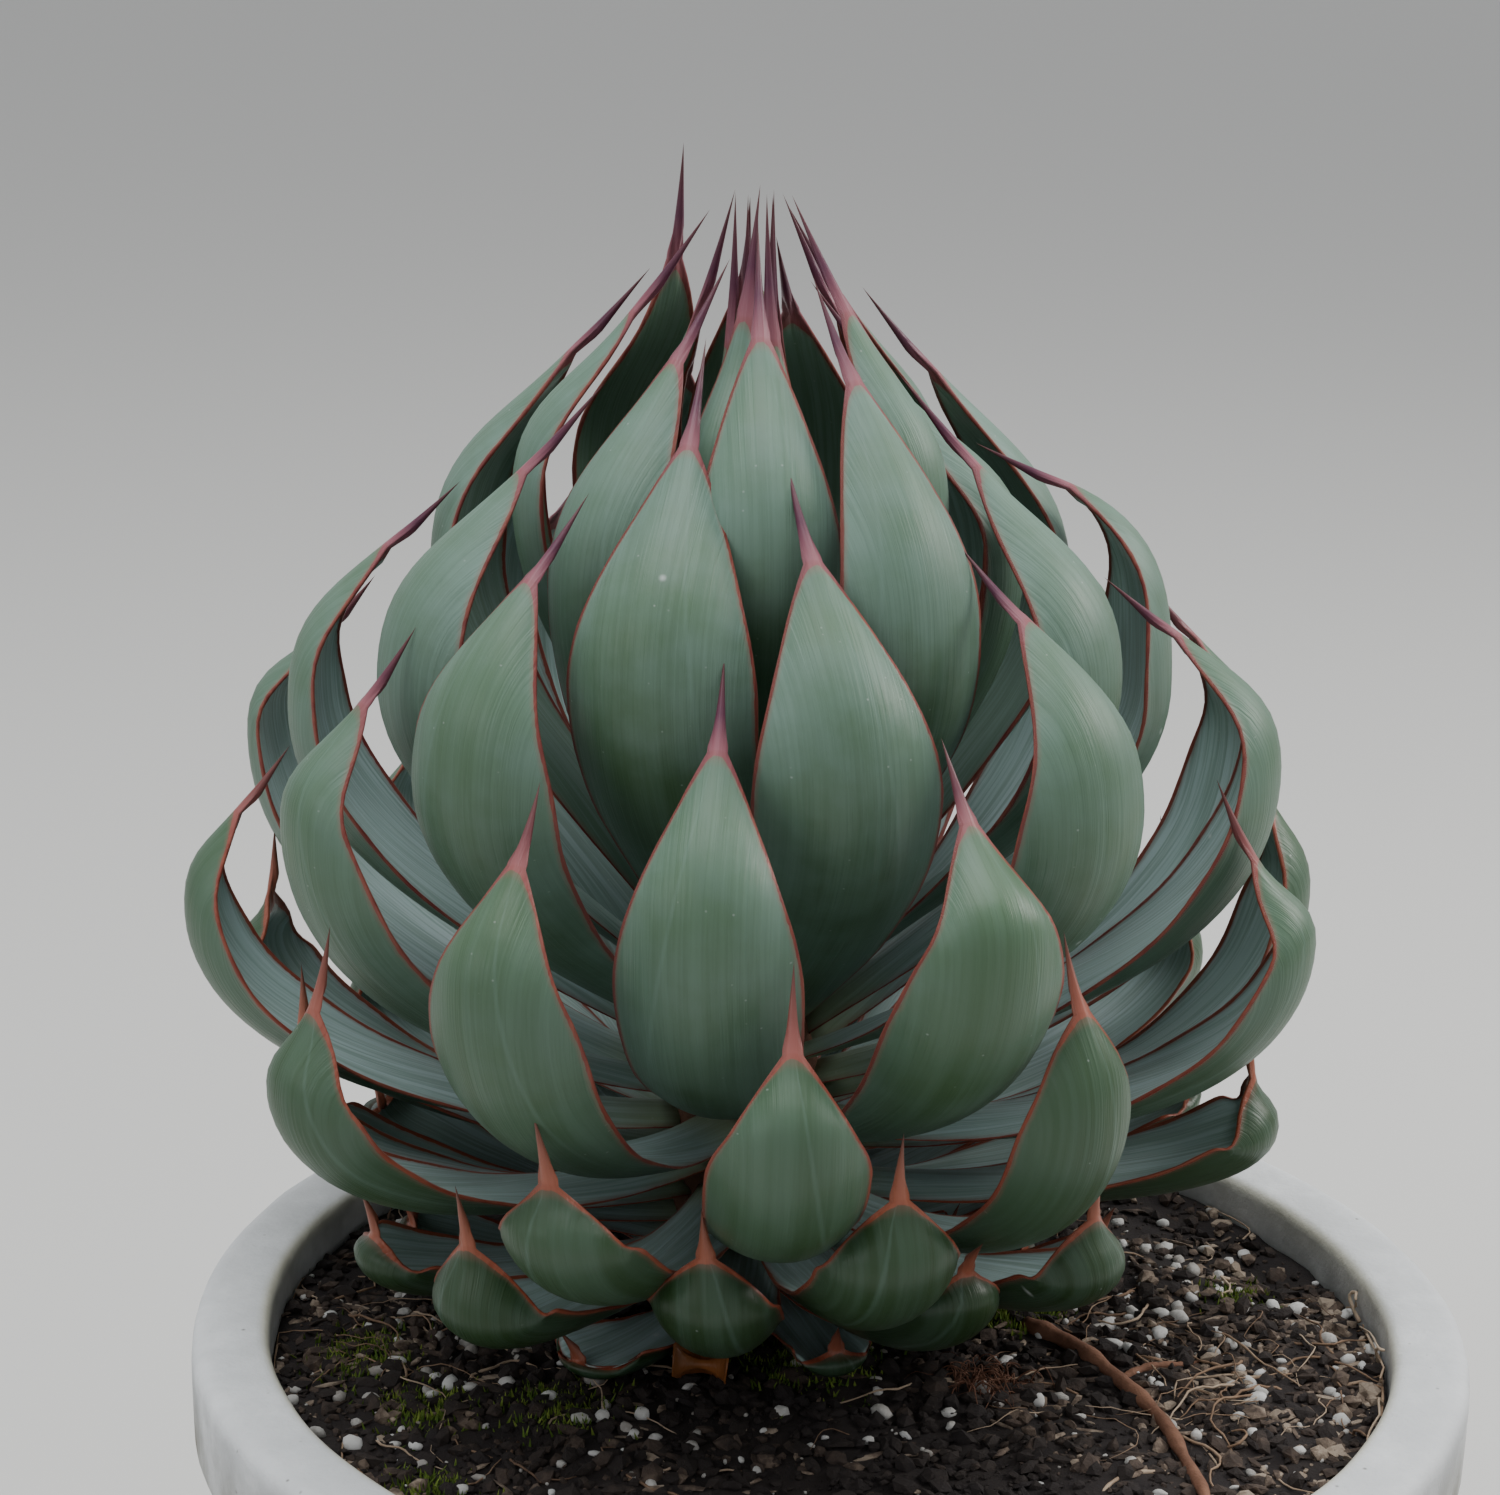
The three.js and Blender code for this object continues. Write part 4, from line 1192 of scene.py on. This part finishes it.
def soil_paleness(places):
    """How pale the soil is at places: darker in a band through the middle, paler towards both sides
    and most towards the right, with some random drift.
    """
    x, y = places[:, 0], places[:, 1]
    side = smooth(np.abs(x - 5), 30, 120) * 0.6 + 0.4 * smooth(x, 30, 110)
    return np.clip(0.20 + 0.20 * side + 0.2 * value_noise(x, y, 14, 9), 0, 1)


crumb_places = spots(8600)
crumb_tones = np.clip(soil_paleness(crumb_places) * rng.uniform(0.2, 2.1, len(crumb_places)) + 0.08, 0, 1)
grains("crumbs", crumb_places, lumpy(len(crumb_places), 0.4, 3.3), HUMUS_SKIN, tones=crumb_tones)

PERLITE_PATCHES = [  # how many, about which place, how widely spread
    (60, (85, 60), 14),
    (30, (84, 26), 8),
    (60, (-95, -20), 22),
    (50, (110, 5), 22),
]
perlite = np.vstack((spots(560), *(spots(*patch) for patch in PERLITE_PATCHES)))
grains("perlite", perlite, lumpy(len(perlite), 0.45, 2.7, 0.9), PERLITE_SKIN, detail=2, dent=0.13)
stone_place, stone_size = np.array([(-60.0, -8.0)]), np.array([(6.2, 5.2, 4.6)])
grains("stone", stone_place, stone_size, PERLITE_SKIN, 3, 0.06, np.array([0.3]))

chip_places = np.vstack((spots(520), spots(260, (112, 5), 30), spots(140, (-118, -5), 22)))
chip_ranges = ((1.4, 6.5), (0.6, 1.7), (0.3, 0.8))
chip_sizes = np.column_stack([rng.uniform(*span, len(chip_places)) for span in chip_ranges])
chip_tones = rng.uniform(0.5, 1, len(chip_places))
grains("bark_chips", chip_places, chip_sizes, HUMUS_SKIN, dent=0.2, tones=chip_tones, upright=0.6)

# %% Roots
def wander(start, heading, length, steps, lift=0.3, turn=0.35):
    """A line over the soil that keeps changing its heading a little."""
    stride = length / steps
    headings = heading + np.cumsum(rng.normal(size=steps) * turn)
    x = start[0] + np.append(0, np.cumsum(np.cos(headings) * stride))
    y = start[1] + np.append(0, np.cumsum(np.sin(headings) * stride))
    x, y = pulled_in(x, y, ROOT_LIMIT)
    share = np.linspace(0, 1, steps + 1)
    arch = lift * 4 * share * (1 - share) * rng.uniform(0.4, 1.6)
    dive = 0.8 * (1 - 4 * share * (1 - share))
    return np.column_stack((x, y, ground_height(x, y) + 0.5 + arch - dive))


fine_starts = np.vstack((spots(110), spots(50, (108, -10), 26), spots(30, (-116, -5), 22)))
fine_lines = [
    wander(start, rng.uniform(0, 2 * np.pi), rng.uniform(10, 46), 14, rng.uniform(0.3, 2.6))
    for start in fine_starts
]
fine_widths = 0.18 + 0.42 * rng.uniform(0, 1, len(fine_lines)) ** 2
fine_tones = rng.uniform(0.1, 1, len(fine_lines))
tubes("fine_roots", fine_lines, fine_widths, fine_tones, FIBRE_SKIN, sides=5)

ROOT_LINE = [(56, 19), (68, 6), (80, -14), (90, -36), (95, -60), (98, -84), (92, -104)]
BRANCH_LINE = [(79, -12), (88, -6), (98, -3), (106, 3)]


def lying(places, radius):
    """Places on the soil as a line, with its two ends deeper in the ground."""
    places = np.asarray(places, float)
    level = PLANT["soil"] + relief(places[:, 0], places[:, 1]) - 0.9 + radius
    level[[0, -1]] -= 1.6
    return through(np.column_stack((places, level)), 8)


root_lines = [lying(ROOT_LINE, 2.6), lying(BRANCH_LINE, 1.5)]
tubes("root", root_lines, [2.6, 1.5], [0.62, 0.75], BARK_SKIN, ["surface_root"], 14, 0.5)
SIDE_ROOTS = [  # places, height of the axis, radius, tone
    ([(95, -62), (86, -66), (78, -70), (72, -78), (70, -88)], 0.9, 0.9, 0.85),
    ([(97, -72), (104, -74), (112, -71), (118, -75)], 0.7, 0.7, 0.8),
    ([(92, -40), (99, -46), (103, -54), (104, -62)], 0.6, 0.5, 0.9),
    ([(66, 8), (60, 2), (57, -7), (50, -12)], 0.7, 0.7, 0.7),
    ([(104, 2), (109, 8), (108, 14)], 0.7, 0.8, 0.8),
]
places, heights, side_widths, side_tones = zip(*SIDE_ROOTS)
side_lines = [lying(*facts) for facts in zip(places, heights)]
tubes("side_roots", side_lines, side_widths, side_tones, FIBRE_SKIN, sides=8)


def hanging(x, y, drop, bulge, steps=12):
    """A root that clings to the bowl's inner wall near the soil."""
    share = np.linspace(0, 1, steps)
    angle = math.atan2(y, x) + bulge * np.sin(share * 5 + drop) * 0.05 + share * bulge * 0.12
    radius = 152.6 - 1.2 * np.abs(np.sin(share * 7))
    height = PLANT["soil"] + 1 + drop * np.sin(share * np.pi)
    return coordinates(*at_angle(radius, angle), height)


WALL_ROOTS = [(149, 20, 7, 1), (151, 8, 5, -1.4), (150, -12, 8, 1.6), (148, -30, 4, -1)]
wall_lines = [hanging(*facts) for facts in WALL_ROOTS]
tubes("wall_roots", wall_lines, [0.7, 0.5, 0.6, 0.5], [0.9, 0.8, 1.0, 0.9], FIBRE_SKIN)

tuft_starts = spots(120, (44, -18), 5)
tuft_lines = [
    wander(start, rng.uniform(0, 2 * np.pi), rng.uniform(5, 14), 8, rng.uniform(0.5, 4))
    for start in tuft_starts
]
tuft_widths = rng.uniform(0.15, 0.35, len(tuft_lines))
tuft_tones = rng.uniform(0.2, 0.7, len(tuft_lines))
tubes("tuft", tuft_lines, tuft_widths, tuft_tones, BARK_SKIN, sides=4)

# %% Moss
MOSS_PATCHES = [  # place on the soil, spread, number of shoots
    (52, 26, 5, 800),
    (60, 32, 4, 400),
    (-4, -10, 9, 700),
    (-71, -42, 8, 420),
    (-128, -16, 7, 420),
    (-108, -44, 7, 320),
    (-100, -88, 6, 200),
    (118, 42, 5, 150),
]


def moss():
    """Low shoots, each a three-sided spike that leans its own way."""
    x, y = (
        np.concatenate([p[i] + p[2] * rng.normal(size=p[3]) for p in MOSS_PATCHES]) for i in (0, 1)
    )
    free = in_the_open(x, y, 25, 151)
    x, y = x[free], y[free]
    count = len(x)
    size = rng.uniform(1.2, 3.2, count)
    root = np.column_stack((x, y, ground_height(x, y) - 0.2))
    point = root + np.column_stack((rng.normal(size=(count, 2)) * 0.8, size))
    angle = rng.uniform(0, 2 * np.pi, (count, 1)) + np.arange(3) * math.tau / 3
    foot = root[:, None] + coordinates(*at_angle(0.55, angle), 0)
    points = np.concatenate((foot, point[:, None]), axis=1).reshape(-1, 3)
    first = 4 * np.arange(count)[:, None]
    faces = [first + np.array(f) for f in ((0, 1, 3), (1, 2, 3), (2, 0, 3), (2, 1, 0))]
    tone = np.repeat(rng.uniform(0.1, 0.8, count), 4) + np.tile((0, 0, 0, 0.3), count)
    notes = grain_notes(points, tone)
    faces = np.concatenate(faces).tolist()
    return piece("moss", points, faces, MOSS_SKIN, (), notes, flat=True)


moss()
